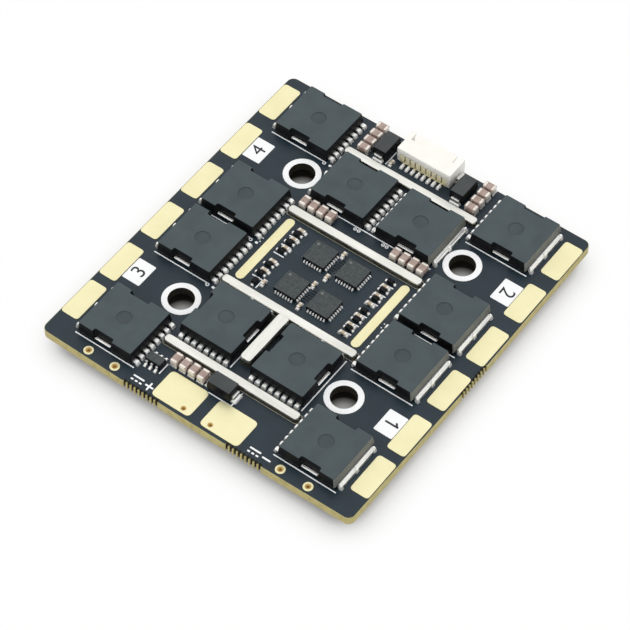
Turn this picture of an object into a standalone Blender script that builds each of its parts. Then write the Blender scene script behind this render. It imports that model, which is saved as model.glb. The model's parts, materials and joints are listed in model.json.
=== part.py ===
"""Four-channel electronic speed controller: a power board with its soldered parts.

The board lies flat, +Z up, with the signal socket at +Y and the battery pads at -Y.
The origin is under the middle of the board, on the plane that the lower transistors rest on.
"""

import math

import bmesh
import bpy
from mathutils import Matrix

MM = 0.001

# Board
BOARD_WIDTH = 57.5 * MM
FRONT_MARGIN = 32.1 * MM
REAR_MARGIN = 30.6 * MM
BOARD_THICKNESS = 1.6 * MM
BOARD_CORNER = 1.2 * MM
HOLE_PITCH = 30.5 * MM
HOLE_DIAMETER = 4.2 * MM
SEAT_DIAMETER = 6.1 * MM
PAD_RISE = 0.1 * MM
SOLDER_GAP = 0.1 * MM
JOIN_DEPTH = 0.3 * MM

# Break-off tabs left along the edges
BITE_COUNT = 9
BITE_PITCH = 0.75 * MM
BITE_RADIUS = 0.25 * MM
FRONT_BITE_X = 9.55 * MM
SIDE_BITE_Y = -1.25 * MM

# Copper lands
MOTOR_PAD_WIDTH = 3.25 * MM
MOTOR_PAD_LENGTH = 7.3 * MM
MOTOR_PAD_EDGE = 0.15 * MM
MOTOR_PAD_CORNER = 0.6 * MM
MOTOR_PAD_PITCH = 10.0 * MM
MOTOR_PAD_SHIFT = -0.05 * MM
LAST_PAD_SHIFT = 1.0 * MM
MOTOR_PADS_PER_SIDE = 6
BATTERY_PAD_WIDTH = 7.1 * MM
BATTERY_PAD_LENGTH = 5.3 * MM
BATTERY_PAD_CORNER = 0.8 * MM
BATTERY_PAD_X = 4.5 * MM
BATTERY_PAD_EDGE = 0.4 * MM
SENSE_HOLE_DIAMETER = 0.6 * MM
SENSE_HOLE_X = 2.5 * MM
SENSE_HOLE_EDGE = 1.2 * MM
STRIP_WIDTH = 1.55 * MM
STRIP_LENGTH = 14.1 * MM
STRIP_X = 10.87 * MM
TEST_RING_DIAMETER = 1.6 * MM
TEST_HOLE_DIAMETER = 0.7 * MM
TEST_RING_X = (15.4 * MM, 20.4 * MM)
TEST_RING_EDGE = 1.1 * MM

# Leadless power transistor
FET_LENGTH = 10.38 * MM
FET_WIDTH = 9.9 * MM
FET_HEIGHT = 2.3 * MM
FET_LEAD_OUT = 0.65 * MM
FET_LEAD_WIDTH = 0.75 * MM
FET_LEAD_MARGIN = 0.75 * MM
FET_LEAD_HEIGHT = 0.5 * MM
FET_LEAD_COUNT = 8
FET_TAB_MARGIN = 0.8 * MM
FET_MOULD_LIFT = 0.05 * MM
FET_DRAFT = 0.22 * MM
FET_NOTCH_LENGTH = 3.2 * MM
FET_NOTCH_DEPTH = 0.65 * MM
FET_TIE_INSET = 0.2 * MM
FET_PAD_GAP = 0.76 * MM
FET_ROW_GAP = 0.9 * MM
FET_SEAT_GAP = 1.15 * MM
FET_REAR_GAP = 0.82 * MM
FET_REAR_Y = 16.85 * MM
FET_STEM_GAP = 0.675 * MM
FET_FRONT_Y = -15.2 * MM

# Bus bars
BAR_LENGTH = 24.9 * MM
BAR_WIDTH = 1.4 * MM
BAR_HEIGHT = 0.8 * MM
BAR_CORNER = 0.6 * MM
BAR_EDGE = 0.1 * MM
BAR_REAR_GAP = 0.46 * MM
BAR_CAP_GAP = 0.5 * MM
BAR_DRAIN_GAP = 0.19 * MM
BAR_LEAD_GAP = 0.76 * MM
STEM_WIDTH = 1.95 * MM
STEM_LENGTH = 10.0 * MM
STEM_HEIGHT = 1.6 * MM
STEM_GAP = 0.2 * MM

# Leadless control chip
CHIP_SIDE = 4.0 * MM
CHIP_HEIGHT = 0.85 * MM
CHIP_PAD_INSET = 0.12 * MM
CHIP_PAD_HEIGHT = 0.2 * MM
CHIP_DOT_DIAMETER = 0.5 * MM
CHIP_DOT_INSET = 0.7 * MM
CHIP_DOT_DEPTH = 0.05 * MM
CHIP_X = 3.05 * MM
CHIP_Y = 3.65 * MM

# Ceramic chip capacitors on shared lands
CAP_LENGTH = 2.0 * MM
CAP_WIDTH = 1.25 * MM
CAP_HEIGHT = 1.25 * MM
CAP_PITCH = 1.66 * MM
CAP_COUNT = 4
CAP_LAND_HEIGHT = 0.2 * MM
CAP_LAND_WIDTH = 0.5 * MM
CAP_DIODE_GAP = 0.6 * MM
REAR_CAP_EDGE = 3.3 * MM
MIDDLE_CAP_X = 8.6 * MM
CAP_FET_GAP = 0.4 * MM
FRONT_CAP_X = -5.9 * MM
FRONT_ROW_EDGE = 7.2 * MM

# Clamp diodes
DIODE_LENGTH = 4.3 * MM
DIODE_WIDTH = 2.6 * MM
DIODE_HEIGHT = 2.2 * MM
DIODE_DRAFT = 0.15 * MM
DIODE_LEAD_OUT = 0.4 * MM
DIODE_LEAD_WIDTH = 1.5 * MM
DIODE_LEAD_HEIGHT = 1.1 * MM
DIODE_TAB_GAP = 0.35 * MM
REAR_DIODE_EDGE = 3.7 * MM
FRONT_DIODE_X = 0.3 * MM

# Signal socket
CONTACT_COUNT = 8
CONTACT_PITCH = 1.0 * MM
CONTACT_WIDTH = 0.3 * MM
CONTACT_FOOT = 1.1 * MM
CONTACT_STOCK = 0.25 * MM
CONTACT_RISE = 2.1 * MM
CONTACT_BEAM_LOW = 1.25 * MM
CONTACT_BEAM_HIGH = 1.6 * MM
CONTACT_BEAM_END = 1.1 * MM
SOCKET_END_WALL = 1.5 * MM
SOCKET_DEPTH = 4.2 * MM
SOCKET_HEIGHT = 2.95 * MM
SOCKET_WALL = 0.5 * MM
SOCKET_BACK_WALL = 1.0 * MM
SOCKET_SLOT_CLEARANCE = 0.1 * MM
SOCKET_SLOT_HEIGHT = 2.4 * MM
SOCKET_KEY_WIDTH = 0.9 * MM
SOCKET_KEY_DEPTH = 1.6 * MM
TAB_THICKNESS = 0.6 * MM
TAB_LENGTH = 1.6 * MM
TAB_HEIGHT = 1.1 * MM
TAB_REAR = 1.0 * MM

# Small six-lead packages
SMALL_LENGTH = 2.9 * MM
SMALL_WIDTH = 1.6 * MM
SMALL_HEIGHT = 1.1 * MM
SMALL_LIFT = 0.1 * MM
SMALL_SPAN = 2.8 * MM
SMALL_LEAD_WIDTH = 0.4 * MM
SMALL_LEAD_HEIGHT = 0.35 * MM
SMALL_LEAD_PITCH = 0.95 * MM
SMALL_LEADS_PER_SIDE = 3
AMPLIFIER_X = -10.95 * MM
AMPLIFIER_EDGE = 5.3 * MM
REGULATOR_X = -7.0 * MM
UNDER_ROW_EDGE = 7.6 * MM

# Current shunt under the board
SHUNT_LENGTH = 6.4 * MM
SHUNT_WIDTH = 3.2 * MM
SHUNT_HEIGHT = 0.7 * MM
SHUNT_ARCH = 0.3 * MM
SHUNT_FOOT = 1.2 * MM
SHUNT_X = 5.0 * MM

# Fineness of round outlines
CORNER_STEPS = 2
ROUND_STEPS = 24
DOT_STEPS = 10
BITE_STEPS = 2
WELD_DISTANCE = 0.001 * MM

# Derived places: the hole pattern is centred on x = 0 and this y
PATTERN_Y = (FRONT_MARGIN - REAR_MARGIN) / 2
BOARD_LENGTH = FRONT_MARGIN + REAR_MARGIN
REAR_EDGE = BOARD_LENGTH / 2
FRONT_EDGE = -BOARD_LENGTH / 2
BOARD_BOTTOM = FET_HEIGHT + SOLDER_GAP
BOARD_TOP = BOARD_BOTTOM + BOARD_THICKNESS
TOP_SEAT = BOARD_TOP + SOLDER_GAP
BOTTOM_SEAT = BOARD_BOTTOM - SOLDER_GAP
FET_REACH = FET_LENGTH / 2 + FET_LEAD_OUT
FET_LEAD_PITCH = (FET_WIDTH - 2 * FET_LEAD_MARGIN) / (FET_LEAD_COUNT - 1)
FET_TAB_WIDTH = FET_WIDTH - 2 * FET_TAB_MARGIN
FET_COLUMN_X = BOARD_WIDTH / 2 - MOTOR_PAD_EDGE - MOTOR_PAD_WIDTH - FET_PAD_GAP - FET_REACH
FET_REAR_X = FET_REACH + FET_REAR_GAP / 2
FET_FRONT_X = STEM_WIDTH / 2 + FET_STEM_GAP + FET_WIDTH / 2
FET_INNER_Y = (FET_WIDTH + FET_ROW_GAP) / 2
FET_OUTER_Y = HOLE_PITCH / 2 + SEAT_DIAMETER / 2 + FET_SEAT_GAP + FET_WIDTH / 2
MOTOR_PAD_X = BOARD_WIDTH / 2 - MOTOR_PAD_EDGE - MOTOR_PAD_WIDTH / 2
BATTERY_PAD_Y = FRONT_EDGE + BATTERY_PAD_EDGE + BATTERY_PAD_LENGTH / 2
FRONT_ROW_Y = FRONT_EDGE + FRONT_ROW_EDGE
UNDER_ROW_Y = FRONT_EDGE + UNDER_ROW_EDGE
REAR_DIODE_Y = REAR_EDGE - REAR_DIODE_EDGE
SOCKET_WIDTH = CONTACT_PITCH * (CONTACT_COUNT - 1) + 2 * SOCKET_END_WALL
SOCKET_BACK = REAR_EDGE - SOCKET_DEPTH
REAR_DIODE_X = SOCKET_WIDTH / 2 + SOLDER_GAP + TAB_THICKNESS + DIODE_TAB_GAP + DIODE_WIDTH / 2
REAR_CAP_X = REAR_DIODE_X + DIODE_WIDTH / 2 + CAP_DIODE_GAP + CAP_LENGTH / 2
MIDDLE_CAP_Y = FET_REAR_Y - FET_WIDTH / 2 - CAP_FET_GAP - CAP_LENGTH / 2
BAR_ROWS = {
    "bus_bar_rear": FET_REAR_Y + FET_WIDTH / 2 + BAR_REAR_GAP + BAR_WIDTH / 2,
    "bus_bar_upper": MIDDLE_CAP_Y - CAP_LENGTH / 2 - BAR_CAP_GAP - BAR_WIDTH / 2,
    "bus_bar_lower": FET_FRONT_Y + FET_REACH + BAR_DRAIN_GAP + BAR_WIDTH / 2,
    "bus_bar_front": FET_FRONT_Y - FET_REACH - BAR_LEAD_GAP - BAR_WIDTH / 2,
}
STEM_Y = PATTERN_Y + BAR_ROWS["bus_bar_lower"] - BAR_WIDTH / 2 - STEM_GAP - STEM_LENGTH / 2

LEFT, RIGHT, FORWARD = math.pi, 0.0, -math.pi / 2


def clear_scene():
    """Remove every object already in the scene."""
    for old in list(bpy.data.objects):
        bpy.data.objects.remove(old, do_unlink=True)


def new_collection(name):
    """A collection linked to the scene."""
    made = bpy.data.collections.new(name)
    bpy.context.scene.collection.children.link(made)
    return made


clear_scene()
PARTS = new_collection("electronic_speed_controller")
CUTTERS = new_collection("cutters")


def finish(name, colour, metallic, roughness):
    """A plain surface finish."""
    made = bpy.data.materials.new(name)
    made.use_nodes = True
    shader = made.node_tree.nodes["Principled BSDF"]
    shader.inputs["Base Color"].default_value = (*colour, 1.0)
    shader.inputs["Metallic"].default_value = metallic
    shader.inputs["Roughness"].default_value = roughness
    return made


SOLDER_MASK = finish("solder_mask", (0.027, 0.034, 0.048), 0.0, 0.45)
MOULD = finish("moulding_compound", (0.089, 0.107, 0.117), 0.0, 0.6)
TINNED = finish("tinned_copper", (0.82, 0.80, 0.74), 1.0, 0.35)
CERAMIC = finish("capacitor_ceramic", (0.46, 0.30, 0.24), 0.0, 0.5)
IVORY = finish("ivory_nylon", (0.88, 0.86, 0.78), 0.0, 0.5)
ALLOY = finish("shunt_alloy", (0.45, 0.42, 0.40), 1.0, 0.45)


def arc(centre, radius, start, end, steps):
    """Points along a circular arc, both ends included."""
    angles = [start + (end - start) * i / steps for i in range(steps + 1)]
    return [(centre[0] + radius * math.cos(a), centre[1] + radius * math.sin(a)) for a in angles]


def circle(centre, diameter, steps):
    """Closed ring of points."""
    return arc(centre, diameter / 2, 0.0, 2 * math.pi, steps)[:-1]


def rounded_rectangle(centre, width, length, radius):
    """Rectangle with round corners, anticlockwise from its right side."""
    points = []
    for i, (sx, sy) in enumerate(((1, 1), (-1, 1), (-1, -1), (1, -1))):
        middle = (centre[0] + sx * (width / 2 - radius), centre[1] + sy * (length / 2 - radius))
        points += arc(middle, radius, i * math.pi / 2, (i + 1) * math.pi / 2, CORNER_STEPS)
    return points


def bitten_outline():
    """Board outline, anticlockwise, with half-round bites where it was broken from its panel."""
    half = BOARD_WIDTH / 2
    first = -(BITE_COUNT - 1) / 2 * BITE_PITCH
    steps = [first + i * BITE_PITCH for i in range(BITE_COUNT)]
    inner_x = half - BOARD_CORNER
    inner_y = REAR_EDGE - BOARD_CORNER
    turn = math.pi / 2
    points = []
    for step in steps:
        middle = (half, PATTERN_Y + SIDE_BITE_Y + step)
        points += arc(middle, BITE_RADIUS, -turn, -3 * turn, BITE_STEPS)
    points += arc((inner_x, inner_y), BOARD_CORNER, 0.0, turn, CORNER_STEPS)
    points += arc((-inner_x, inner_y), BOARD_CORNER, turn, 2 * turn, CORNER_STEPS)
    points += arc((-inner_x, -inner_y), BOARD_CORNER, 2 * turn, 3 * turn, CORNER_STEPS)
    for side in (-1, 1):
        for step in steps:
            middle = (side * FRONT_BITE_X + step, FRONT_EDGE)
            points += arc(middle, BITE_RADIUS, 2 * turn, 0.0, BITE_STEPS)
    points += arc((inner_x, -inner_y), BOARD_CORNER, 3 * turn, 4 * turn, CORNER_STEPS)
    return points


def prism(name, outline, bottom, top):
    """Closed mesh of a flat outline carried from one height to another."""
    curve = bpy.data.curves.new(name, "CURVE")
    curve.dimensions = "2D"
    curve.fill_mode = "BOTH"
    curve.extrude = (top - bottom) / 2
    spline = curve.splines.new("POLY")
    spline.points.add(len(outline) - 1)
    for point, (x, y) in zip(spline.points, outline):
        point.co = (x, y, 0.0, 1.0)
    spline.use_cyclic_u = True
    guide = bpy.data.objects.new(name, curve)
    CUTTERS.objects.link(guide)
    graph = bpy.context.evaluated_depsgraph_get()
    mesh = bpy.data.meshes.new_from_object(guide.evaluated_get(graph))
    bpy.data.objects.remove(guide)
    work = bmesh.new()
    work.from_mesh(mesh)
    bmesh.ops.remove_doubles(work, verts=work.verts, dist=WELD_DISTANCE)
    bmesh.ops.translate(work, verts=work.verts, vec=(0.0, 0.0, (bottom + top) / 2))
    bmesh.ops.recalc_face_normals(work, faces=work.faces)
    work.to_mesh(mesh)
    work.free()
    return mesh


def boxes(name, extents):
    """Mesh of boxes, each given by its two x, two y and two z limits."""
    work = bmesh.new()
    for x0, x1, y0, y1, z0, z1 in extents:
        centre = Matrix.Translation(((x0 + x1) / 2, (y0 + y1) / 2, (z0 + z1) / 2))
        size = Matrix.Diagonal((x1 - x0, y1 - y0, z1 - z0, 1.0))
        bmesh.ops.create_cube(work, size=1.0, matrix=centre @ size)
    mesh = bpy.data.meshes.new(name)
    work.to_mesh(mesh)
    work.free()
    return mesh


def drafted(mesh, top, draft):
    """The mesh with its upper face drawn in by the draft on every side."""
    reach_x = max(abs(v.co.x) for v in mesh.vertices)
    reach_y = max(abs(v.co.y) for v in mesh.vertices)
    for vertex in mesh.vertices:
        if vertex.co.z > top - WELD_DISTANCE:
            vertex.co.x *= 1 - draft / reach_x
            vertex.co.y *= 1 - draft / reach_y
    return mesh


def helper(name, mesh):
    """An object that only shapes others."""
    made = bpy.data.objects.new(name, mesh)
    made.hide_render = True
    made.display_type = "WIRE"
    CUTTERS.objects.link(made)
    return made


def combine(target, operation, name, mesh):
    """Join a helper shape to an object, or cut it away."""
    modifier = target.modifiers.new(name, "BOOLEAN")
    modifier.operation = operation
    modifier.solver = "EXACT"
    modifier.object = helper(f"{target.name}_{name}", mesh)
    return modifier.object


def settled(pattern):
    """Mesh of a pattern object with its modifiers worked out."""
    graph = bpy.context.evaluated_depsgraph_get()
    return bpy.data.meshes.new_from_object(pattern.evaluated_get(graph))


def place(name, mesh, look, x, y, angle=0.0, below=False):
    """A part on the board's upper face, or hung upside down from its lower one."""
    if not mesh.materials:
        mesh.materials.append(look)
    made = bpy.data.objects.new(name, mesh)
    turned = Matrix.Rotation(angle, 4, "Z")
    if below:
        turned = turned @ Matrix.Rotation(math.pi, 4, "X")
    height = BOTTOM_SEAT if below else TOP_SEAT
    made.matrix_world = Matrix.Translation((x, y, height)) @ turned
    PARTS.objects.link(made)
    return made


def board_pads():
    """Outlines of the lands that show on both faces of the board."""
    pads = []
    middle = (MOTOR_PADS_PER_SIDE - 1) / 2
    for side in (-1, 1):
        for i in range(MOTOR_PADS_PER_SIDE):
            y = PATTERN_Y + MOTOR_PAD_SHIFT + (middle - i) * MOTOR_PAD_PITCH
            if i == MOTOR_PADS_PER_SIDE - 1:
                y += LAST_PAD_SHIFT
            place_at = (side * MOTOR_PAD_X, y)
            pads.append(rounded_rectangle(place_at, MOTOR_PAD_WIDTH, MOTOR_PAD_LENGTH, MOTOR_PAD_CORNER))
        place_at = (side * BATTERY_PAD_X, BATTERY_PAD_Y)
        pads.append(
            rounded_rectangle(place_at, BATTERY_PAD_WIDTH, BATTERY_PAD_LENGTH, BATTERY_PAD_CORNER)
        )
        for x in TEST_RING_X:
            pads.append(circle((side * x, FRONT_EDGE + TEST_RING_EDGE), TEST_RING_DIAMETER, DOT_STEPS))
        for end in (-1, 1):
            hole = (side * HOLE_PITCH / 2, PATTERN_Y + end * HOLE_PITCH / 2)
            pads.append(circle(hole, SEAT_DIAMETER, ROUND_STEPS))
    return pads


def board_holes():
    """Outlines of every hole drilled through the board."""
    holes = []
    for side in (-1, 1):
        for end in (-1, 1):
            hole = (side * HOLE_PITCH / 2, PATTERN_Y + end * HOLE_PITCH / 2)
            holes.append(circle(hole, HOLE_DIAMETER, ROUND_STEPS))
        for x in TEST_RING_X:
            holes.append(circle((side * x, FRONT_EDGE + TEST_RING_EDGE), TEST_HOLE_DIAMETER, DOT_STEPS))
        sense = (side * SENSE_HOLE_X, FRONT_EDGE + SENSE_HOLE_EDGE)
        holes.append(circle(sense, SENSE_HOLE_DIAMETER, DOT_STEPS))
    return holes


def joined(name, meshes):
    """One mesh that holds several separate closed shapes."""
    work = bmesh.new()
    for mesh in meshes:
        work.from_mesh(mesh)
    made = bpy.data.meshes.new(name)
    work.to_mesh(made)
    work.free()
    return made


def circuit_board():
    """The board with raised lands on both faces, long strips on top and every drilled hole."""
    mesh = prism("circuit_board", bitten_outline(), BOARD_BOTTOM, BOARD_TOP)
    mesh.materials.append(SOLDER_MASK)
    board = bpy.data.objects.new("circuit_board", mesh)
    PARTS.objects.link(board)
    low = BOARD_BOTTOM - PAD_RISE
    high = BOARD_TOP + PAD_RISE
    lands = [prism("land", outline, low, high) for outline in board_pads()]
    for side in (-1, 1):
        strip = rounded_rectangle((side * STRIP_X, PATTERN_Y), STRIP_WIDTH, STRIP_LENGTH, STRIP_WIDTH / 2)
        lands.append(prism("strip", strip, BOARD_TOP - JOIN_DEPTH, high))
    combine(board, "UNION", "lands", joined("lands", lands))
    drills = [prism("drill", o, low - JOIN_DEPTH, high + JOIN_DEPTH) for o in board_holes()]
    combine(board, "DIFFERENCE", "drills", joined("drills", drills))


def transistor_mesh():
    """Leadless power transistor, leads toward +X and drain tab toward -X, on z = 0."""
    x = FET_LENGTH / 2
    y = FET_WIDTH / 2
    nx = FET_NOTCH_LENGTH / 2
    ny = y - FET_NOTCH_DEPTH
    outline = [(x, -y), (x, y), (nx, y), (nx, ny), (-nx, ny), (-nx, y)]
    outline += [(-px, -py) for px, py in outline]
    body = drafted(prism("mould", outline, FET_MOULD_LIFT, FET_HEIGHT), FET_HEIGHT, FET_DRAFT)
    pattern = helper("transistor", body)
    metal = []
    for i in range(FET_LEAD_COUNT):
        middle = (i - (FET_LEAD_COUNT - 1) / 2) * FET_LEAD_PITCH
        left = middle - FET_LEAD_WIDTH / 2
        right = middle + FET_LEAD_WIDTH / 2
        metal.append((x - 2 * FET_LEAD_OUT, x + FET_LEAD_OUT, left, right, 0.0, FET_LEAD_HEIGHT))
    half_tab = FET_TAB_WIDTH / 2
    metal.append((-x - FET_LEAD_OUT, -x + 2 * FET_LEAD_OUT, -half_tab, half_tab, 0.0, FET_LEAD_HEIGHT))
    tie = nx - FET_TIE_INSET
    tie_reach = y - FET_TIE_INSET
    metal.append((-tie, tie, -tie_reach, tie_reach, 2 * FET_MOULD_LIFT, FET_LEAD_HEIGHT))
    combine(pattern, "UNION", "metal", boxes("metal", metal))
    return settled(pattern)


def transistors():
    """Three half bridges for each motor: low-side switches on top, high-side ones under them."""
    mesh = transistor_mesh()
    corners = {1: (1, -1), 2: (1, 1), 3: (-1, -1), 4: (-1, 1)}
    for motor, (side, end) in corners.items():
        inward = LEFT if side > 0 else RIGHT
        middle = (FET_REAR_X, FET_REAR_Y, inward) if end > 0 else (FET_FRONT_X, FET_FRONT_Y, FORWARD)
        spots = {
            "a": (side * FET_COLUMN_X, PATTERN_Y + end * FET_OUTER_Y, inward),
            "b": (side * FET_COLUMN_X, PATTERN_Y + end * FET_INNER_Y, inward),
            "c": (side * middle[0], PATTERN_Y + middle[1], middle[2]),
        }
        for phase, (x, y, angle) in spots.items():
            place(f"mosfet_low_m{motor}_{phase}", mesh, MOULD, x, y, angle)
            place(f"mosfet_high_m{motor}_{phase}", mesh, MOULD, x, y, angle, below=True)


def bar_mesh(name, width, length, height):
    """Bus bar with round corners and softened upper edges, on z = 0."""
    outline = rounded_rectangle((0.0, 0.0), width, length, BAR_CORNER)
    return drafted(prism(name, outline, 0.0, height), height, BAR_EDGE)


def bus_bars():
    """Four cross bars and the stem that feeds them from the battery side."""
    cross = bar_mesh("cross_bar", BAR_LENGTH, BAR_WIDTH, BAR_HEIGHT)
    for name, y in BAR_ROWS.items():
        place(name, cross, TINNED, 0.0, PATTERN_Y + y)
    stem = bar_mesh("stem_bar", STEM_WIDTH, STEM_LENGTH, STEM_HEIGHT)
    place("bus_bar_stem", stem, TINNED, 0.0, STEM_Y)


def chip_mesh():
    """Leadless control chip with its contact layer set in a little and a dot over the first contact."""
    half = CHIP_SIDE / 2
    inner = half - CHIP_PAD_INSET
    body = boxes("chip_body", [(-half, half, -half, half, CHIP_PAD_HEIGHT, CHIP_HEIGHT)])
    pattern = helper("chip", body)
    layer = boxes("layer", [(-inner, inner, -inner, inner, 0.0, CHIP_HEIGHT / 2)])
    combine(pattern, "UNION", "layer", layer)
    corner = half - CHIP_DOT_INSET
    dot = circle((-corner, corner), CHIP_DOT_DIAMETER, DOT_STEPS)
    low = CHIP_HEIGHT - CHIP_DOT_DEPTH
    combine(pattern, "DIFFERENCE", "dot", prism("dot", dot, low, CHIP_HEIGHT + JOIN_DEPTH))
    return settled(pattern)


def control_chips():
    """One controller for each motor on top, and its gate driver under it."""
    mesh = chip_mesh()
    spots = ((1, -1), (1, 1), (-1, -1), (-1, 1))
    for number, (side, end) in enumerate(spots, start=1):
        x = side * CHIP_X
        y = PATTERN_Y + end * CHIP_Y
        place(f"motor_controller_{number}", mesh, MOULD, x, y)
        place(f"gate_driver_{number}", mesh, MOULD, x, y, below=True)


def capacitor_bank_mesh():
    """Four chips side by side along X on two shared lands, on z = 0."""
    half = CAP_LENGTH / 2
    reach = (CAP_COUNT - 1) / 2 * CAP_PITCH + CAP_WIDTH / 2
    chips = []
    for i in range(CAP_COUNT):
        middle = (i - (CAP_COUNT - 1) / 2) * CAP_PITCH
        left = middle - CAP_WIDTH / 2
        chips.append((left, left + CAP_WIDTH, -half, half, CAP_LAND_HEIGHT / 2, CAP_HEIGHT))
    pattern = helper("capacitor_bank", boxes("chips", chips))
    lands = []
    for end in (-1, 1):
        edge = end * (half + SOLDER_GAP)
        inner = edge - end * CAP_LAND_WIDTH
        low, high = sorted((edge, inner))
        lands.append((-reach - SOLDER_GAP, reach + SOLDER_GAP, low, high, 0.0, CAP_LAND_HEIGHT))
    combine(pattern, "UNION", "lands", boxes("bank_lands", lands))
    return settled(pattern)


def capacitor_banks():
    """Ceramic capacitors in banks at the rear, in the middle and at the battery side."""
    mesh = capacitor_bank_mesh()
    quarter = math.pi / 2
    rear = REAR_EDGE - REAR_CAP_EDGE
    middle = PATTERN_Y + MIDDLE_CAP_Y
    place("capacitor_bank_rear_left", mesh, CERAMIC, -REAR_CAP_X, rear, quarter)
    place("capacitor_bank_rear_right", mesh, CERAMIC, REAR_CAP_X, rear, quarter)
    place("capacitor_bank_middle_left", mesh, CERAMIC, -MIDDLE_CAP_X, middle)
    place("capacitor_bank_middle_right", mesh, CERAMIC, MIDDLE_CAP_X, middle)
    place("capacitor_bank_front", mesh, CERAMIC, FRONT_CAP_X, FRONT_ROW_Y)


def diode_mesh():
    """Two-lead clamp diode along X, on z = 0."""
    half = DIODE_LENGTH / 2
    side = DIODE_WIDTH / 2
    lift = DIODE_HEIGHT / 12
    outline = [(half, -side), (half, side), (-half, side), (-half, -side)]
    body = drafted(prism("diode_body", outline, lift, DIODE_HEIGHT), DIODE_HEIGHT, DIODE_DRAFT)
    pattern = helper("diode", body)
    reach = DIODE_LEAD_WIDTH / 2
    leads = []
    for end in (-1, 1):
        low, high = sorted((end * (half + DIODE_LEAD_OUT), end * (half - DIODE_LEAD_OUT)))
        leads.append((low, high, -reach, reach, 0.0, DIODE_LEAD_HEIGHT))
    combine(pattern, "UNION", "leads", boxes("diode_leads", leads))
    return settled(pattern)


def clamp_diodes():
    """One diode on each side of the signal socket and one at the battery pads."""
    mesh = diode_mesh()
    quarter = math.pi / 2
    place("clamp_diode_left", mesh, MOULD, -REAR_DIODE_X, REAR_DIODE_Y, quarter)
    place("clamp_diode_right", mesh, MOULD, REAR_DIODE_X, REAR_DIODE_Y, quarter)
    place("clamp_diode_front", mesh, MOULD, FRONT_DIODE_X, FRONT_ROW_Y)


def contact_mesh():
    """Bent contact seen from the side: foot, riser and beam. Its riser's back is at y = 0."""
    foot = CONTACT_FOOT
    stock = CONTACT_STOCK
    tip = SOCKET_DEPTH - CONTACT_BEAM_END
    side = [
        (-foot, 0.0),
        (stock, 0.0),
        (stock, CONTACT_BEAM_LOW),
        (tip, CONTACT_BEAM_LOW),
        (tip, CONTACT_BEAM_HIGH),
        (stock, CONTACT_BEAM_HIGH),
        (stock, CONTACT_RISE),
        (0.0, CONTACT_RISE),
        (0.0, stock),
        (-foot, stock),
    ]
    mesh = prism("contact", side, -CONTACT_WIDTH / 2, CONTACT_WIDTH / 2)
    upright = Matrix(((0, 0, 1, 0), (1, 0, 0, 0), (0, 1, 0, 0), (0, 0, 0, 1)))
    mesh.transform(upright)
    return mesh


def signal_socket():
    """Side-entry socket whose mouth is flush with the rear edge, its contacts and solder tabs."""
    half = SOCKET_WIDTH / 2
    shell = boxes("shell", [(-half, half, 0.0, SOCKET_DEPTH, 0.0, SOCKET_HEIGHT)])
    housing = place("signal_socket_housing", shell, IVORY, 0.0, SOCKET_BACK)
    inner = half - SOCKET_WALL
    past = SOCKET_DEPTH + JOIN_DEPTH
    ceiling = SOCKET_HEIGHT - SOCKET_WALL
    mouth = boxes("mouth", [(-inner, inner, SOCKET_BACK_WALL, past, SOCKET_WALL, ceiling)])
    keys = []
    for side in (-1, 1):
        low, high = sorted((side * (inner - SOCKET_KEY_WIDTH), side * (inner - SOCKET_WALL / 2)))
        start = SOCKET_DEPTH - SOCKET_KEY_DEPTH
        keys.append((low, high, start, past, ceiling - JOIN_DEPTH, SOCKET_HEIGHT + JOIN_DEPTH))
    slots = []
    slot = CONTACT_WIDTH / 2 + SOCKET_SLOT_CLEARANCE
    places = [(i - (CONTACT_COUNT - 1) / 2) * CONTACT_PITCH for i in range(CONTACT_COUNT)]
    for x in places:
        into = SOCKET_BACK_WALL + JOIN_DEPTH
        slots.append((x - slot, x + slot, -JOIN_DEPTH, into, -JOIN_DEPTH, SOCKET_SLOT_HEIGHT))
    cuts = {"mouth": mouth, "keys": boxes("keys", keys), "slots": boxes("slots", slots)}
    for name, mesh in cuts.items():
        tool = combine(housing, "DIFFERENCE", name, mesh)
        tool.matrix_world = housing.matrix_world
    contact = contact_mesh()
    for number, x in enumerate(places, start=1):
        place(f"signal_contact_{number}", contact, TINNED, x, SOCKET_BACK)
    tab_low = half + SOLDER_GAP
    for side, name in ((-1, "left"), (1, "right")):
        low, high = sorted((side * tab_low, side * (tab_low + TAB_THICKNESS)))
        extent = (low, high, 0.0, TAB_LENGTH, 0.0, TAB_HEIGHT)
        tab = boxes("solder_tab", [extent])
        place(f"signal_socket_tab_{name}", tab, TINNED, 0.0, REAR_EDGE - TAB_REAR - TAB_LENGTH)


def small_package_mesh():
    """Six-lead package, long along X, on z = 0."""
    half = SMALL_LENGTH / 2
    side = SMALL_WIDTH / 2
    body = boxes("small_body", [(-half, half, -side, side, SMALL_LIFT, SMALL_HEIGHT)])
    pattern = helper("small_package", body)
    leads = []
    for i in range(SMALL_LEADS_PER_SIDE):
        middle = (i - (SMALL_LEADS_PER_SIDE - 1) / 2) * SMALL_LEAD_PITCH
        left = middle - SMALL_LEAD_WIDTH / 2
        right = middle + SMALL_LEAD_WIDTH / 2
        leads.append((left, right, -SMALL_SPAN / 2, SMALL_SPAN / 2, 0.0, SMALL_LEAD_HEIGHT))
    combine(pattern, "UNION", "leads", boxes("small_leads", leads))
    return settled(pattern)


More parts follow.
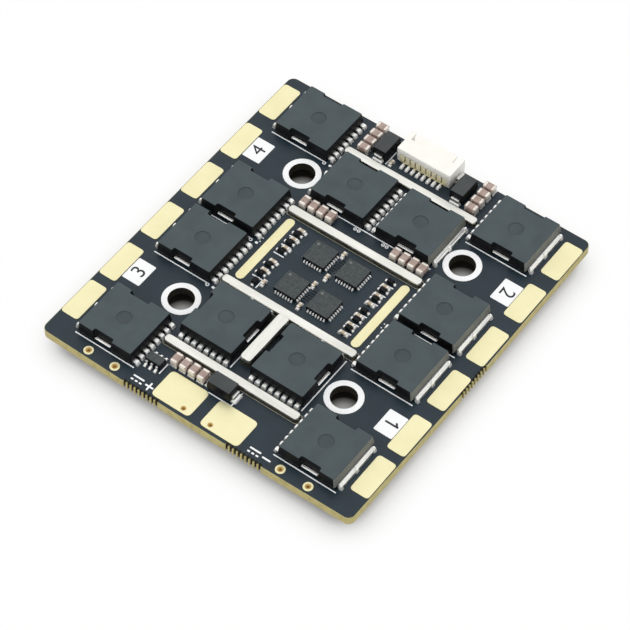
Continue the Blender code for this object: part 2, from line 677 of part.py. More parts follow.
def supply_parts():
    """Current-sense amplifier on top; regulator and current shunt under the board."""
    mesh = small_package_mesh()
    place("current_sense_amplifier", mesh, MOULD, AMPLIFIER_X, FRONT_EDGE + AMPLIFIER_EDGE)
    place("step_down_regulator", mesh, MOULD, REGULATOR_X, UNDER_ROW_Y, below=True)
    half = SHUNT_LENGTH / 2
    side = SHUNT_WIDTH / 2
    pattern = helper("shunt", boxes("bridge", [(-half, half, -side, side, 0.0, SHUNT_HEIGHT)]))
    open_x = half - SHUNT_FOOT
    open_y = side + JOIN_DEPTH
    arch = boxes("arch", [(-open_x, open_x, -open_y, open_y, -JOIN_DEPTH, SHUNT_ARCH)])
    combine(pattern, "DIFFERENCE", "arch", arch)
    place("current_shunt", settled(pattern), ALLOY, SHUNT_X, UNDER_ROW_Y, below=True)


def build():
    """Make every part of the speed controller."""
    circuit_board()
    transistors()
    bus_bars()
    control_chips()
    capacitor_banks()
    clamp_diodes()
    signal_socket()
    supply_parts()


build()
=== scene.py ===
"""Looks of a four-channel electronic speed controller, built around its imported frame."""

import json
import logging
import math
from dataclasses import dataclass
from enum import Enum, IntEnum

import bmesh
import bpy
import numpy as np
from mathutils import Matrix, Vector
from mathutils.geometry import tessellate_polygon


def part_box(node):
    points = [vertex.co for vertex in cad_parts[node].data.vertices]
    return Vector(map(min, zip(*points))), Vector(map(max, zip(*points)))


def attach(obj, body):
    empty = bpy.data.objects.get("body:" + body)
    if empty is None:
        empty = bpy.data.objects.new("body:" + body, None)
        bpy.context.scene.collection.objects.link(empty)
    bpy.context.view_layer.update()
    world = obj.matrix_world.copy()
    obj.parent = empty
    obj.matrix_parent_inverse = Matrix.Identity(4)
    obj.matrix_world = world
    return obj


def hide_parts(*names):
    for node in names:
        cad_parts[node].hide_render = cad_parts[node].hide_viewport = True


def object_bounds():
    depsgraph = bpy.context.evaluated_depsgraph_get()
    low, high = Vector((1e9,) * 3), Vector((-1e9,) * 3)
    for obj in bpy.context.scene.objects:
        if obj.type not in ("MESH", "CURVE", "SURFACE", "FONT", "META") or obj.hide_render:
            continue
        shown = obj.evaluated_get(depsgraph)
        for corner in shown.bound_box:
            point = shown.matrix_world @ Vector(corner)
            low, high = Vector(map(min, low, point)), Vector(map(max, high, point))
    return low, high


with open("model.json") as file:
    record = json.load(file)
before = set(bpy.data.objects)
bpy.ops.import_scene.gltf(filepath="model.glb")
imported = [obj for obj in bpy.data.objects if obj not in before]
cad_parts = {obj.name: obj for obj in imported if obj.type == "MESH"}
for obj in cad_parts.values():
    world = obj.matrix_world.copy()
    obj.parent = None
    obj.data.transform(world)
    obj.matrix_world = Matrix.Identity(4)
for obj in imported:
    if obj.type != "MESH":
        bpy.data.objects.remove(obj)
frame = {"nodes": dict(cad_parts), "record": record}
CAD_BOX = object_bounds()

LOG = logging.getLogger("speed_controller")
MM = 0.001
TURN = 2 * math.pi
QUARTER = math.pi / 2
BOTH = (-1, 1)

# Heights and places shared by everything on the board
PAD_RISE = 0.1 * MM
SOLDER_GAP = 0.1 * MM
PRINT_RISE = 0.02 * MM
PRINT_SINK = 0.01 * MM
PATTERN_Y = 0.75 * MM
HOLE_PITCH = 30.5 * MM
HOLE_DIAMETER = 4.2 * MM
SEAT_DIAMETER = 6.1 * MM

# Angles and shares of the rounding that the shapes have in common
SHARP_ANGLE = math.radians(32)
BEVEL_ANGLE = math.radians(30)
FLAT_ANGLE = math.radians(1)
DOUBLES = 0.002 * MM
TINY = 1e-12
CORNER_SHARE = 0.48
KNEE_SHARE = 0.3
BLOCK_CORNER = 1.6
DOME_ANGLE = math.radians(80)
DOME_SKIRT = 0.02 * MM

# Sockets of the colour mix node, which share their names
MIX_FIRST, MIX_LAST, MIX_RESULT = 6, 7, 2
NOISE_MIDDLE = (0.25, 0.75)

Socket = bpy.types.NodeSocket


class Side(Enum):
    """Face of the board that a part is soldered to."""

    TOP = "top"
    BOTTOM = "bottom"


class Slot(Enum):
    """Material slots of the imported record."""

    BOARD = "board_mask"
    TRANSISTOR = "transistor_mould"
    CHIP = "chip_mould"
    DIODE = "diode_mould"
    BAR = "tinned_bar"
    TAB = "tinned_tab"
    CERAMIC = "capacitor_ceramic"
    NYLON = "socket_nylon"
    CONTACT = "contact_brass"
    SHUNT = "shunt_alloy"


class Step(Enum):
    """How a number runs between two ends."""

    EVEN = "LINEAR"
    SMOOTH = "SMOOTHSTEP"


class BoardLook(IntEnum):
    """Finish numbers of the board's core."""

    MASK = 0
    EDGE = 1
    # painted shade: the holes' walls and the edge's bites are near-black
    SHADED_BORE = 2


class MouldLook(IntEnum):
    """Finish numbers of a moulded body: the lid, then painted shade on the flank and in the sunk mark, and a
    painted reflection of the drain tab on the flank at the drain end.
    """

    LID = 0
    # painted shade: the walls take a near-black copy of the mould's colour
    SHADED_FLANK = 1
    # painted shade: the inside of the sunk mark is darker than the lid
    MARK = 2
    # painted reflection: the flank next to the drain tab is paler, as if lit by the tab's bright solder
    DRAIN_REFLECTION = 3


class MetalLook(IntEnum):
    """Finish numbers of leads, contacts and chip ends."""

    METAL = 0
    SOLDER = 1


class BarLook(IntEnum):
    """Finish numbers of a bar."""

    CROWN = 0
    # painted shade: the bars' sides are dark
    SIDE = 1


class DiodeLook(IntEnum):
    """Finish numbers of a bootstrap diode."""

    BODY = 0
    LEAD = 1
    SOLDER = 2


@dataclass
class Shell:
    """Points and faces of a surface, with a finish number for each face."""

    points: np.ndarray
    faces: list
    looks: list

    def moved(self, matrix: Matrix) -> "Shell":
        """The same surface placed by a matrix."""
        turn = np.array(matrix)
        return Shell(self.points @ turn[:3, :3].T + turn[:3, 3], self.faces, self.looks)

    def at(self, x: float, y: float, z: float = 0.0) -> "Shell":
        """The same surface shifted along the axes."""
        return self.moved(Matrix.Translation((x, y, z)))

    def dressed(self, look: int) -> "Shell":
        """The same surface with one finish number all over."""
        return Shell(self.points, self.faces, [look] * len(self.faces))

    def swapped(self) -> "Shell":
        """The same surface with its axes passed on: x to y, y to z, z to x."""
        return Shell(self.points[:, [2, 0, 1]], self.faces, self.looks)


def merged(shells: list[Shell]) -> Shell:
    """Join surfaces into one.

    Args:
        shells: surfaces to put together, each left as its own closed body.

    Returns:
        One surface that holds all of them.
    """
    points, faces, looks = [], [], []
    start = 0
    for shell in shells:
        points.append(shell.points)
        faces += [tuple(int(i) + start for i in face) for face in shell.faces]
        looks += shell.looks
        start += len(shell.points)
    return Shell(np.concatenate(points), faces, looks)


def spread(count: int, pitch: float) -> np.ndarray:
    """Evenly spaced places about zero."""
    return (np.arange(count) - (count - 1) / 2) * pitch


@dataclass
class Outline:
    """Closed outline, anticlockwise, that can be drawn in or out.

    Its corners are moved along their mitres first, and each corner P then becomes the quadratic blend
    (1-s)^2 A + 2s(1-s) P + s^2 B, where A and B lie one radius along its two sides. Without radii the corners
    are the outline's own points.
    """

    corners: np.ndarray
    radii: np.ndarray | None = None
    steps: int = 4

    def at(self, x: float, y: float) -> "Outline":
        """The same outline moved across the board."""
        return Outline(self.corners + (x, y), self.radii, self.steps)

    def mitres(self) -> np.ndarray:
        """Outward mitre at each corner: the sum of its two side normals over one plus their product.

        Returns:
            Array of corners by two.
        """
        side = np.roll(self.corners, -1, axis=0) - self.corners
        normal = np.stack([side[:, 1], -side[:, 0]], axis=1)
        normal /= np.maximum(np.linalg.norm(normal, axis=1, keepdims=True), TINY)
        before = np.roll(normal, 1, axis=0)
        return (normal + before) / (1 + (normal * before).sum(axis=1, keepdims=True))

    def drawn_in(self, inset: float) -> np.ndarray:
        """Points of the outline, drawn in.

        Args:
            inset: how far every side moves inwards; a negative inset moves it out.

        Returns:
            Array of points by two.
        """
        middle = self.corners - inset * self.mitres()
        if self.radii is None:
            return middle
        before = np.roll(middle, 1, axis=0) - middle
        after = np.roll(middle, -1, axis=0) - middle
        before_length = np.linalg.norm(before, axis=1)
        after_length = np.linalg.norm(after, axis=1)
        reach = np.minimum(self.radii, CORNER_SHARE * np.minimum(before_length, after_length))
        start = middle + before * (reach / before_length)[:, None]
        end = middle + after * (reach / after_length)[:, None]
        s = np.linspace(0.0, 1.0, self.steps + 1)[None, :, None]
        blend = (1 - s) ** 2 * start[:, None] + 2 * s * (1 - s) * middle[:, None] + s**2 * end[:, None]
        return blend.reshape(-1, 2)


def rectangle(width: float, length: float, radius: float, steps: int = 4) -> Outline:
    """Rounded rectangle about the origin, width along x and length along y."""
    x, y = width / 2, length / 2
    return Outline(np.array([(x, -y), (x, y), (-x, y), (-x, -y)]), np.full(4, radius), steps)


def circle(radius: float, steps: int = 32, centre: tuple = (0.0, 0.0)) -> Outline:
    """Circle of points."""
    angle = np.arange(steps) * TURN / steps
    return Outline(np.stack([centre[0] + radius * np.cos(angle), centre[1] + radius * np.sin(angle)], axis=1))


def stadium(length: float, width: float, steps: int = 10) -> Outline:
    """Straight strip along y with half-round ends.

    Args:
        length: size from end to end.
        width: size across.
        steps: sides of each half circle.

    Returns:
        The outline.
    """
    angle = np.linspace(0.0, math.pi, steps + 1)
    far = np.stack([np.cos(angle), np.sin(angle)], axis=1) * width / 2
    lift = np.array([0.0, (length - width) / 2])
    return Outline(np.concatenate([far + lift, -far - lift]))


def rings(outline: Outline, levels: list) -> np.ndarray:
    """Grid of points: the outline at each level.

    Row i is the outline drawn in by inset i, shifted and set at height i.

    Args:
        outline: closed outline.
        levels: rows of inset and height, or inset, height, x shift and y shift.

    Returns:
        Array of levels by points by three.
    """
    rows = []
    for inset, height, *shift in levels:
        flat = outline.drawn_in(inset) + (shift or (0.0, 0.0))
        rows.append(np.concatenate([flat, np.full((len(flat), 1), height)], axis=1))
    return np.array(rows)


def wall_faces(levels: int, count: int, start: int = 0) -> list:
    """Four-sided faces between neighbouring rings of a grid that closes round each ring.

    Args:
        levels: number of rings.
        count: points in a ring.
        start: number of the grid's first point.

    Returns:
        The faces, ring by ring.
    """
    i, j = np.meshgrid(np.arange(levels - 1), np.arange(count), indexing="ij")
    k = (j + 1) % count
    quads = np.stack([i * count + j, i * count + k, (i + 1) * count + k, (i + 1) * count + j], axis=-1)
    return (quads.reshape(-1, 4) + start).tolist()


def loft(outline: Outline, levels: list, flank: int = 0, lid: int = 0, lid_rows: int = 1) -> Shell:
    """Closed solid: an outline carried up through levels, with a flat cap at each end.

    Args:
        outline: closed outline.
        levels: rows of inset and height, lowest first, with optional shifts.
        flank: finish number of the walls.
        lid: finish number of the upper cap and the walls next to it.
        lid_rows: how many rows of walls take the lid's finish.

    Returns:
        The surface.
    """
    grid = rings(outline, levels)
    count = grid.shape[1]
    faces = wall_faces(len(levels), count)
    looks = [flank] * (len(faces) - lid_rows * count) + [lid] * (lid_rows * count)
    last = (len(levels) - 1) * count
    faces += [list(range(count))[::-1], list(range(last, last + count))]
    return Shell(grid.reshape(-1, 3), faces, looks + [flank, lid])


def turned(profile: np.ndarray, steps: int) -> Shell:
    """Ring turned about z: each profile point (radius, height) goes round a full circle.

    Args:
        profile: closed section, array of points by two.
        steps: sides of the circle.

    Returns:
        The surface.
    """
    angle = np.arange(steps) * TURN / steps
    way = np.stack([np.cos(angle), np.sin(angle)], axis=1)
    flat = profile[:, None, :1] * way[None]
    height = np.broadcast_to(profile[:, None, 1:], (*flat.shape[:2], 1))
    grid = np.concatenate([flat, height], axis=2)
    faces = wall_faces(len(profile) + 1, steps)
    faces = [[i % (len(profile) * steps) for i in face] for face in faces]
    return Shell(grid.reshape(-1, 3), faces, [0] * len(faces))


def filled(loops: list) -> np.ndarray:
    """Triangles that fill the flat space between loops of points, all turned anticlockwise.

    Args:
        loops: arrays of points by two, the outer loop first.

    Returns:
        Array of triangles by three point numbers, counted through all loops.
    """
    flat = np.concatenate(loops)
    triangles = np.array(tessellate_polygon([[Vector((*p, 0.0)) for p in loop] for loop in loops]))
    a, b, c = (flat[triangles[:, i]] for i in range(3))
    area = (b[:, 0] - a[:, 0]) * (c[:, 1] - a[:, 1]) - (b[:, 1] - a[:, 1]) * (c[:, 0] - a[:, 0])
    return np.where(area[:, None] > 0, triangles, triangles[:, ::-1])


def plate(
    outer: Outline, holes: list, low: float, high: float, edge: float, wall: int = 0, bore: int = 0
) -> Shell:
    """Flat plate with holes and softened edges.

    Every outline is carried from the lower face to the upper one, drawn back by the edge size at both ends,
    and the two faces are filled between the outlines.

    Args:
        outer: outline.
        holes: outlines of holes.
        low: height of the lower face.
        high: height of the upper face.
        edge: size of the softened edge.
        wall: finish number of the outer wall; both faces are number 0.
        bore: finish number of the holes' walls.

    Returns:
        The surface.
    """
    points, faces, looks, loops, under, over = [], [], [], [], [], []
    start = 0
    for number, outline in enumerate([outer, *holes]):
        inset = edge if number == 0 else -edge
        grid = rings(outline, [(inset, low), (0.0, low + edge), (0.0, high - edge), (inset, high)])
        levels, count = grid.shape[:2]
        walls = wall_faces(levels, count, start)
        faces += walls if number == 0 else [face[::-1] for face in walls]
        looks += [wall if number == 0 else bore] * len(walls)
        points.append(grid.reshape(-1, 3))
        loops.append(grid[-1, :, :2])
        under.append(start + np.arange(count))
        over.append(start + (levels - 1) * count + np.arange(count))
        start += levels * count
    triangles = filled(loops)
    faces += np.concatenate(over)[triangles].tolist()
    faces += np.concatenate(under)[triangles[:, ::-1]].tolist()
    looks += [0] * (2 * len(triangles))
    return Shell(np.concatenate(points), faces, looks)


def block(size: tuple, centre: tuple, edge: float, steps: int = 2) -> Shell:
    """Rounded block: a rounded rectangle carried up, drawn in by the edge size at both ends.

    Args:
        size: its sizes along x, y and z.
        centre: its middle.
        edge: size of the rounding.
        steps: steps of each corner.

    Returns:
        The surface.
    """
    x, y, z = size
    low, high = centre[2] - z / 2, centre[2] + z / 2
    knee = edge * KNEE_SHARE
    levels = [(edge, low), (knee, low + knee), (0.0, low + edge)]
    levels += [(0.0, high - edge), (knee, high - knee), (edge, high)]
    return loft(rectangle(x, y, edge * BLOCK_CORNER, steps), levels).at(centre[0], centre[1])


def strip(side: list, width: float, corner: float, soft: float, steps: int = 3) -> Shell:
    """Bent strip: a side view with rounded corners, carried across its width and drawn in at both faces.

    Args:
        side: corners of the side view, y and z.
        width: width along x, about zero.
        corner: radius of the side view's corners.
        soft: size of the softened edges.
        steps: steps of each corner.

    Returns:
        The surface.
    """
    half = width / 2
    outline = Outline(np.array(side), np.full(len(side), corner), steps)
    return loft(outline, [(soft, -half), (0.0, soft - half), (0.0, half - soft), (soft, half)]).swapped()


@dataclass(frozen=True)
class Heap:
    """Rounded heap of solder on a land.

    Its rows follow an angle up to 80 degrees: the inset grows as 1 - cos and the height and lean as sin.
    """

    width: float
    length: float
    corner: float
    height: float
    reach: float
    lean: tuple = (0.0, 0.0)
    rows: int = 5
    steps: int = 4

    def shell(self, x: float = 0.0, y: float = 0.0, z: float = 0.0, side: int = 1) -> Shell:
        """The heap's surface.

        Args:
            x: place of its middle.
            y: place of its middle.
            z: height of the part's underside, one solder gap above the land.
            side: -1 turns its lean round.

        Returns:
            The surface.
        """
        angle = np.linspace(0.0, DOME_ANGLE, self.rows + 1)
        base = -SOLDER_GAP
        levels = [(-DOME_SKIRT, base)]
        for inset, rise in zip(self.reach * (1 - np.cos(angle)), np.sin(angle)):
            lean = (side * rise * v for v in self.lean)
            levels.append((inset, base + (self.height - base) * rise, *lean))
        return loft(rectangle(self.width, self.length, self.corner, self.steps), levels).at(x, y, z)


@dataclass(frozen=True)
class Moulding:
    """Moulded block that leans in above and below its parting line.

    Its foot is the inset and the height of its underside.
    """

    length: float
    width: float
    height: float
    foot: tuple
    parting: float
    lean: float
    edge: float
    corner: float
    steps: int = 2

    def shell(self, flank: int = MouldLook.SHADED_FLANK) -> Shell:
        """The block's surface.

        Args:
            flank: finish number of the walls.

        Returns:
            The surface.
        """
        levels = [self.foot, (0.0, self.parting), (self.lean, self.height - self.edge)]
        levels.append((self.lean + self.edge, self.height))
        return loft(rectangle(self.length, self.width, self.corner, self.steps), levels, flank=flank)


class NodeBench:
    """Adds and links the shader nodes of one material."""

    def __init__(self, name: str) -> None:
        """Start a material with a bare Principled shader.

        Args:
            name: the material's name.
        """
        self.material = bpy.data.materials.new(name)
        self.material.use_nodes = True
        self.tree = self.material.node_tree
        self.shader = self.tree.nodes["Principled BSDF"]
        self.place = self.add("ShaderNodeTexCoord").outputs["Object"]

    def add(self, kind: str, inputs: dict | None = None, **values: object) -> bpy.types.Node:
        """Add a node.

        Args:
            kind: the node's type.
            inputs: values of its unlinked inputs, by name.
            **values: its plain properties, by name.

        Returns:
            The node.
        """
        node = self.tree.nodes.new(kind)
        for name, value in values.items():
            setattr(node, name, value)
        for name, value in (inputs or {}).items():
            node.inputs[name].default_value = value
        return node

    def link(self, source: Socket, target: Socket) -> None:
        """Join an output to an input."""
        self.tree.links.new(source, target)

    def noise(self, scale: float, detail: float, stretch: tuple = (1.0, 1.0, 1.0)) -> Socket:
        """Noise on object coordinates.

        Args:
            scale: features to the metre.
            detail: octaves of finer noise.
            stretch: factor along each axis.

        Returns:
            The noise's socket.
        """
        mapping = self.add("ShaderNodeMapping", {"Scale": stretch})
        self.link(self.place, mapping.inputs["Vector"])
        node = self.add("ShaderNodeTexNoise", {"Scale": scale, "Detail": detail})
        self.link(mapping.outputs["Vector"], node.inputs["Vector"])
        return node.outputs["Fac"]

    def bands(self, axis: str, scale: float, distortion: float, detail: float) -> Socket:
        """Wavy bands on object coordinates.

        Args:
            axis: axis that the bands follow one another along.
            scale: waves to the metre, times a full turn.
            distortion: how far the bands wander.
            detail: octaves of the wandering.

        Returns:
            The bands' socket.
        """
        inputs = {"Scale": scale / TURN, "Distortion": distortion, "Detail": detail}
        wave = self.add("ShaderNodeTexWave", inputs, wave_type="BANDS", bands_direction=axis)
        self.link(self.place, wave.inputs["Vector"])
        return wave.outputs["Fac"]

    def ramp(self, source: Socket, *stops: tuple) -> Socket:
        """Colour that runs through two or more stops as the source rises.

        Args:
            source: socket to follow.
            *stops: pairs of the source's value and a colour, lowest first.

        Returns:
            The colour's socket.
        """
        node = self.add("ShaderNodeValToRGB")
        points = node.color_ramp.elements
        first, *between, last = stops
        for point, (value, colour) in zip(points, (first, last)):
            point.position = value
            point.color = (*colour, 1.0)
        for value, colour in between:
            points.new(value).color = (*colour, 1.0)
        self.link(source, node.inputs["Fac"])
        return node.outputs["Color"]

    def mixed(self, amount: Socket, first: Socket, last: Socket) -> Socket:
        """Blend of two colours.

        Args:
            amount: share of the last colour.
            first: colour at 0.
            last: colour at 1.

        Returns:
            The colour's socket.
        """
        node = self.add("ShaderNodeMix", data_type="RGBA")
        self.link(amount, node.inputs["Factor"])
        self.link(first, node.inputs[MIX_FIRST])
        self.link(last, node.inputs[MIX_LAST])
        return node.outputs[MIX_RESULT]

    def ranged(
        self, source: Socket, shares: tuple, ends: tuple = NOISE_MIDDLE, step: Step = Step.EVEN
    ) -> Socket:
        """Number that runs between two shares as the source runs between two ends.

        Args:
            source: socket to follow.
            shares: numbers at the two ends.
            ends: the source's values there; the middle of a noise's range unless given.
            step: how it runs between them.

        Returns:
            The number's socket.
        """
        inputs = dict(zip(("From Min", "From Max", "To Min", "To Max"), (*ends, *shares)))
        node = self.add("ShaderNodeMapRange", inputs, interpolation_type=step.value)
        self.link(source, node.inputs["Value"])
        return node.outputs["Result"]

    def joined(self, operation: str, first: Socket, last: Socket) -> Socket:
        """Number worked out from two others.

        Args:
            operation: name of the sum.
            first: one number.
            last: the other number.

        Returns:
            The result's socket.
        """
        node = self.add("ShaderNodeMath", operation=operation)
        self.link(first, node.inputs[0])
        self.link(last, node.inputs[1])
        return node.outputs[0]

    def bump(self, source: Socket, strength: float, depth: float) -> None:
        """Let a pattern roughen the surface.

        Args:
            source: the pattern's socket.
            strength: share of the full effect.
            depth: height of the pattern.
        """
        node = self.add("ShaderNodeBump", {"Strength": strength, "Distance": depth})
        self.link(source, node.inputs["Height"])
        self.link(node.outputs["Normal"], self.shader.inputs["Normal"])


@dataclass(frozen=True)
class Finish:
    """Surface finish with fine grain, patchy colour and uneven gloss.

    The colour runs between two tones over coarse noise, the roughness between two values over finer noise,
    and the fine noise also lifts the surface.
    """

    name: str
    dark: tuple
    light: tuple
    rough: tuple = (0.4, 0.55)
    metallic: float = 0.0
    specular: float = 0.5
    patch: float = 400.0
    patch_detail: float = 4.0
    patch_ends: tuple = (0.3, 0.7)
    grain: float = 6000.0
    grain_detail: float = 3.0
    strength: float = 0.25
    depth: float = 0.01 * MM
    stretch: tuple = (1.0, 1.0, 1.0)

    def colour(self, bench: NodeBench) -> Socket:
        """Base colour from patches of the two tones."""
        patches = bench.noise(self.patch, self.patch_detail, self.stretch)
        return bench.ramp(patches, *zip(self.patch_ends, (self.dark, self.light)))

    def material(self) -> bpy.types.Material:
        """The Blender material, made once.

        Returns:
            The material.
        """
        made = bpy.data.materials.get(self.name)
        if made:
            return made
        bench = NodeBench(self.name)
        bench.shader.inputs["Metallic"].default_value = self.metallic
        bench.shader.inputs["Specular IOR Level"].default_value = self.specular
        bench.link(self.colour(bench), bench.shader.inputs["Base Color"])
        grain = bench.noise(self.grain, self.grain_detail, self.stretch)
        bench.link(bench.ranged(grain, self.rough), bench.shader.inputs["Roughness"])
        bench.bump(grain, self.strength, self.depth)
        return bench.material


@dataclass(frozen=True)
class LaminateFinish(Finish):
    """Cut edge of the laminate: bands of glass cloth through the thickness, broken by noise."""

    band: float = 5200.0
    band_wander: tuple = (2.0, 2.0)
    seam: tuple = (0.30, 0.22, 0.09)
    seam_ends: tuple = (0.0, 0.35)
    broken: tuple = (900.0, 2.0)
    broken_shares: tuple = (0.2, 0.8)

    def colour(self, bench: NodeBench) -> Socket:
        """Two-tone patches with darker seams that follow the height.

        Args:
            bench: the material's nodes.

        Returns:
            The colour's socket.
        """
        patches = super().colour(bench)
        bands = bench.bands("Z", self.band, *self.band_wander)
        seam = bench.ramp(bands, *zip(self.seam_ends, (self.seam, self.light)))
        return bench.mixed(bench.ranged(bench.noise(*self.broken), self.broken_shares), patches, seam)


@dataclass(frozen=True)
class MaskFinish(Finish):
    """Solder mask over copper: smooth, with faint runs of tracks that show through as paler lines."""

    track: float = 4300.0
    track_wander: tuple = (3.0, 1.0)
    track_ends: tuple = (0.55, 0.9)
    copper: tuple = (0.010, 0.018, 0.032)
    blotch: tuple = (160.0, 1.0)
    blotch_ends: tuple = (0.58, 0.68)
    blotch_share: float = 0.7

    def colour(self, bench: NodeBench) -> Socket:
        """Patches with paler tracks where a distorted wave crests, inside blotches of noise.

        Args:
            bench: the material's nodes.

        Returns:
            The colour's socket.
        """
        patches = super().colour(bench)
        bands = bench.bands("Y", self.track, *self.track_wander)
        tracks = bench.ramp(bands, *zip(self.track_ends, (self.dark, self.copper)))
        greys = ((0.0,) * 3, (self.blotch_share,) * 3)
        amount = bench.ramp(bench.noise(*self.blotch), *zip(self.blotch_ends, greys))
        return bench.mixed(amount, patches, tracks)


MASK = MaskFinish("solder_mask_finish", (0.008, 0.020, 0.030), (0.013, 0.028, 0.041), (0.36, 0.46),
                  specular=0.34, patch=260.0, grain=2400.0, strength=0.12)
LAMINATE = LaminateFinish("laminate_edge", (0.31, 0.265, 0.095), (0.52, 0.455, 0.185), (0.5, 0.7),
                          patch=900.0)
# Painted shade: near-black colour for the walls of the drilled holes and of the bites in the board's edge.
SHADED_BORE = Finish("drilled_wall_shade", (0.010, 0.009, 0.005), (0.030, 0.026, 0.014), (0.4, 0.6),
              specular=0.15, patch=900.0)
LID = Finish("mould_lid", (0.043, 0.061, 0.068), (0.057, 0.078, 0.084), (0.5, 0.62),
             specular=0.4, patch=300.0, grain=7000.0, strength=0.35)
# Painted shade: darker copy of the lid's colour for the inside of the sunk mark.
MARK = Finish("mould_mark_shade", (0.040, 0.054, 0.063), (0.053, 0.069, 0.077), (0.5, 0.62),
              specular=0.35, grain=5000.0)
# Painted shade: near-black copy of the mould's colour for the walls of moulded bodies, which the small diodes
# also take all over.
SHADED_FLANK = Finish("mould_flank_shade", (0.004, 0.004, 0.005), (0.009, 0.010, 0.011), (0.4, 0.55), specular=0.12)
# Painted reflection: pale copy of the mould's colour for the flank faces beside the drain tab's bright
# solder.
TAB_REFLECTION_FLANK = Finish("mould_drain_flank_reflection", (0.122, 0.126, 0.114), (0.178, 0.182, 0.163), (0.45, 0.6),
                     specular=0.4, grain=7000.0)
CHIP_LID = Finish("chip_lid", (0.026, 0.034, 0.036), (0.060, 0.072, 0.071), (0.45, 0.6),
                  specular=0.4, patch=2200.0, grain=9000.0)
DIODE_LID = Finish("diode_lid", (0.036, 0.043, 0.045), (0.050, 0.058, 0.059), (0.45, 0.6),
                   specular=0.4, grain=8000.0)
DOT = Finish("laser_dot", (0.12, 0.125, 0.12), (0.17, 0.175, 0.165), (0.6, 0.7))
GOLD = Finish("gold_plate", (0.79, 0.735, 0.44), (0.84, 0.785, 0.495), (0.36, 0.46),
              metallic=0.6, patch=220.0, grain=3000.0, strength=0.2)
BARREL = Finish("plated_barrel", (0.78, 0.54, 0.17), (0.88, 0.66, 0.27), (0.3, 0.45),
                metallic=0.3, patch=2000.0)
COLLAR = Finish("sense_collar_finish", (0.30, 0.17, 0.03), (0.48, 0.30, 0.08), (0.35, 0.5),
                metallic=0.3, patch=2000.0)
TIN_BAR = Finish("tinned_bar_finish", (0.60, 0.60, 0.56), (0.77, 0.765, 0.72), (0.24, 0.38),
                 metallic=0.9, patch=700.0, grain=2500.0, strength=0.35, stretch=(0.15, 1.0, 1.0))
TIN_STEM = Finish("tinned_stem_finish", (0.60, 0.60, 0.56), (0.77, 0.765, 0.72), (0.24, 0.38),
                  metallic=0.9, patch=700.0, grain=2500.0, strength=0.35, stretch=(1.0, 0.15, 1.0))
# Painted shade: dark colour for the bars' sides, standing for their shaded faces that mirror the dark board.
BAR_SIDE_SHADE = Finish("tinned_bar_side_shade", (0.05, 0.047, 0.035), (0.14, 0.13, 0.10), (0.35, 0.5),
                  metallic=0.6, patch=900.0)
LAND_LINE = Finish("land_line", (0.30, 0.29, 0.20), (0.46, 0.45, 0.34), (0.4, 0.55), patch=1200.0)
TRACK = Finish("covered_track", (0.017, 0.036, 0.052), (0.024, 0.046, 0.064), (0.34, 0.44),
               specular=0.34, patch=500.0)
TIN_LEAD = Finish("tinned_lead", (0.66, 0.66, 0.64), (0.86, 0.86, 0.84), (0.26, 0.4),
                  metallic=0.9, patch=1500.0)
SOLDER = Finish("solder", (0.88, 0.88, 0.86), (0.96, 0.96, 0.94), (0.22, 0.36),
                metallic=0.55, patch=1800.0, grain=3500.0, strength=0.14)
PIN_SOLDER = Finish("pin_solder", (0.94, 0.94, 0.93), (1.0, 1.0, 0.99), (0.3, 0.45),
                    metallic=0.15, patch=1800.0)
INK = Finish("white_print", (0.96, 0.97, 0.98), (1.0, 1.0, 1.0), (0.55, 0.7), patch=1500.0)
DARK_INK = Finish("dark_print", (0.012, 0.014, 0.018), (0.022, 0.025, 0.030), (0.5, 0.65))
CERAMIC = Finish("capacitor_body", (0.33, 0.235, 0.20), (0.46, 0.35, 0.30), (0.4, 0.55), patch=1300.0)
CAP_END = Finish("capacitor_end", (0.72, 0.66, 0.58), (0.90, 0.86, 0.80), (0.36, 0.5),
                 metallic=0.35, patch=1500.0)
PALE_CERAMIC = Finish("pale_chip_body", (0.40, 0.33, 0.23), (0.58, 0.50, 0.37), (0.4, 0.55), patch=1800.0)
NYLON = Finish("socket_nylon_finish", (0.91, 0.895, 0.83), (0.955, 0.945, 0.895), (0.42, 0.55), patch=350.0)
# Painted shade: darker, yellower copy of the nylon for the ribs on the socket's back.
SHADED_RIB = Finish("socket_rib", (0.80, 0.74, 0.45), (0.92, 0.87, 0.60), (0.45, 0.6), patch=900.0)
BRONZE = Finish("contact_finish", (0.72, 0.62, 0.38), (0.88, 0.79, 0.56), (0.32, 0.44),
                metallic=0.35, patch=1500.0)
ALLOY = Finish("shunt_finish", (0.30, 0.28, 0.265), (0.44, 0.41, 0.385), (0.35, 0.5),
               metallic=0.9, grain=3000.0, stretch=(0.1, 1.0, 1.0))


def settled(name: str, mesh: bpy.types.Mesh, nodes: tuple) -> bpy.types.Object:
    """Put a finished mesh into the scene as a piece that rides on the board's body.

    Args:
        name: object name.
        mesh: its mesh, already in place and dressed.
        nodes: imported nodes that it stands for.

    Returns:
        The object.
    """
    mesh.shade_smooth()
    mesh.set_sharp_from_angle(angle=SHARP_ANGLE)
    made = bpy.data.objects.new(name, mesh)
    bpy.context.scene.collection.objects.link(made)
    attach(made, "root")
    if nodes:
        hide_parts(*nodes)
    LOG.info("%s: %d faces", name, len(mesh.polygons))
    return made


def piece(name: str, shell: Shell, finishes: list[Finish], nodes: tuple = ()) -> None:
    """Make a piece of the model from a surface.

    Args:
        name: object name.
        shell: its surface, already in place.
        finishes: finishes by the numbers that the surface uses.
        nodes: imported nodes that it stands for.
    """
    mesh = bpy.data.meshes.new(name)
    mesh.from_pydata(shell.points.tolist(), [], shell.faces)
    for finish in finishes:
        mesh.materials.append(finish.material())
    mesh.polygons.foreach_set("material_index", np.array(shell.looks, np.int32))
    mesh.validate()
    settled(name, mesh, nodes)


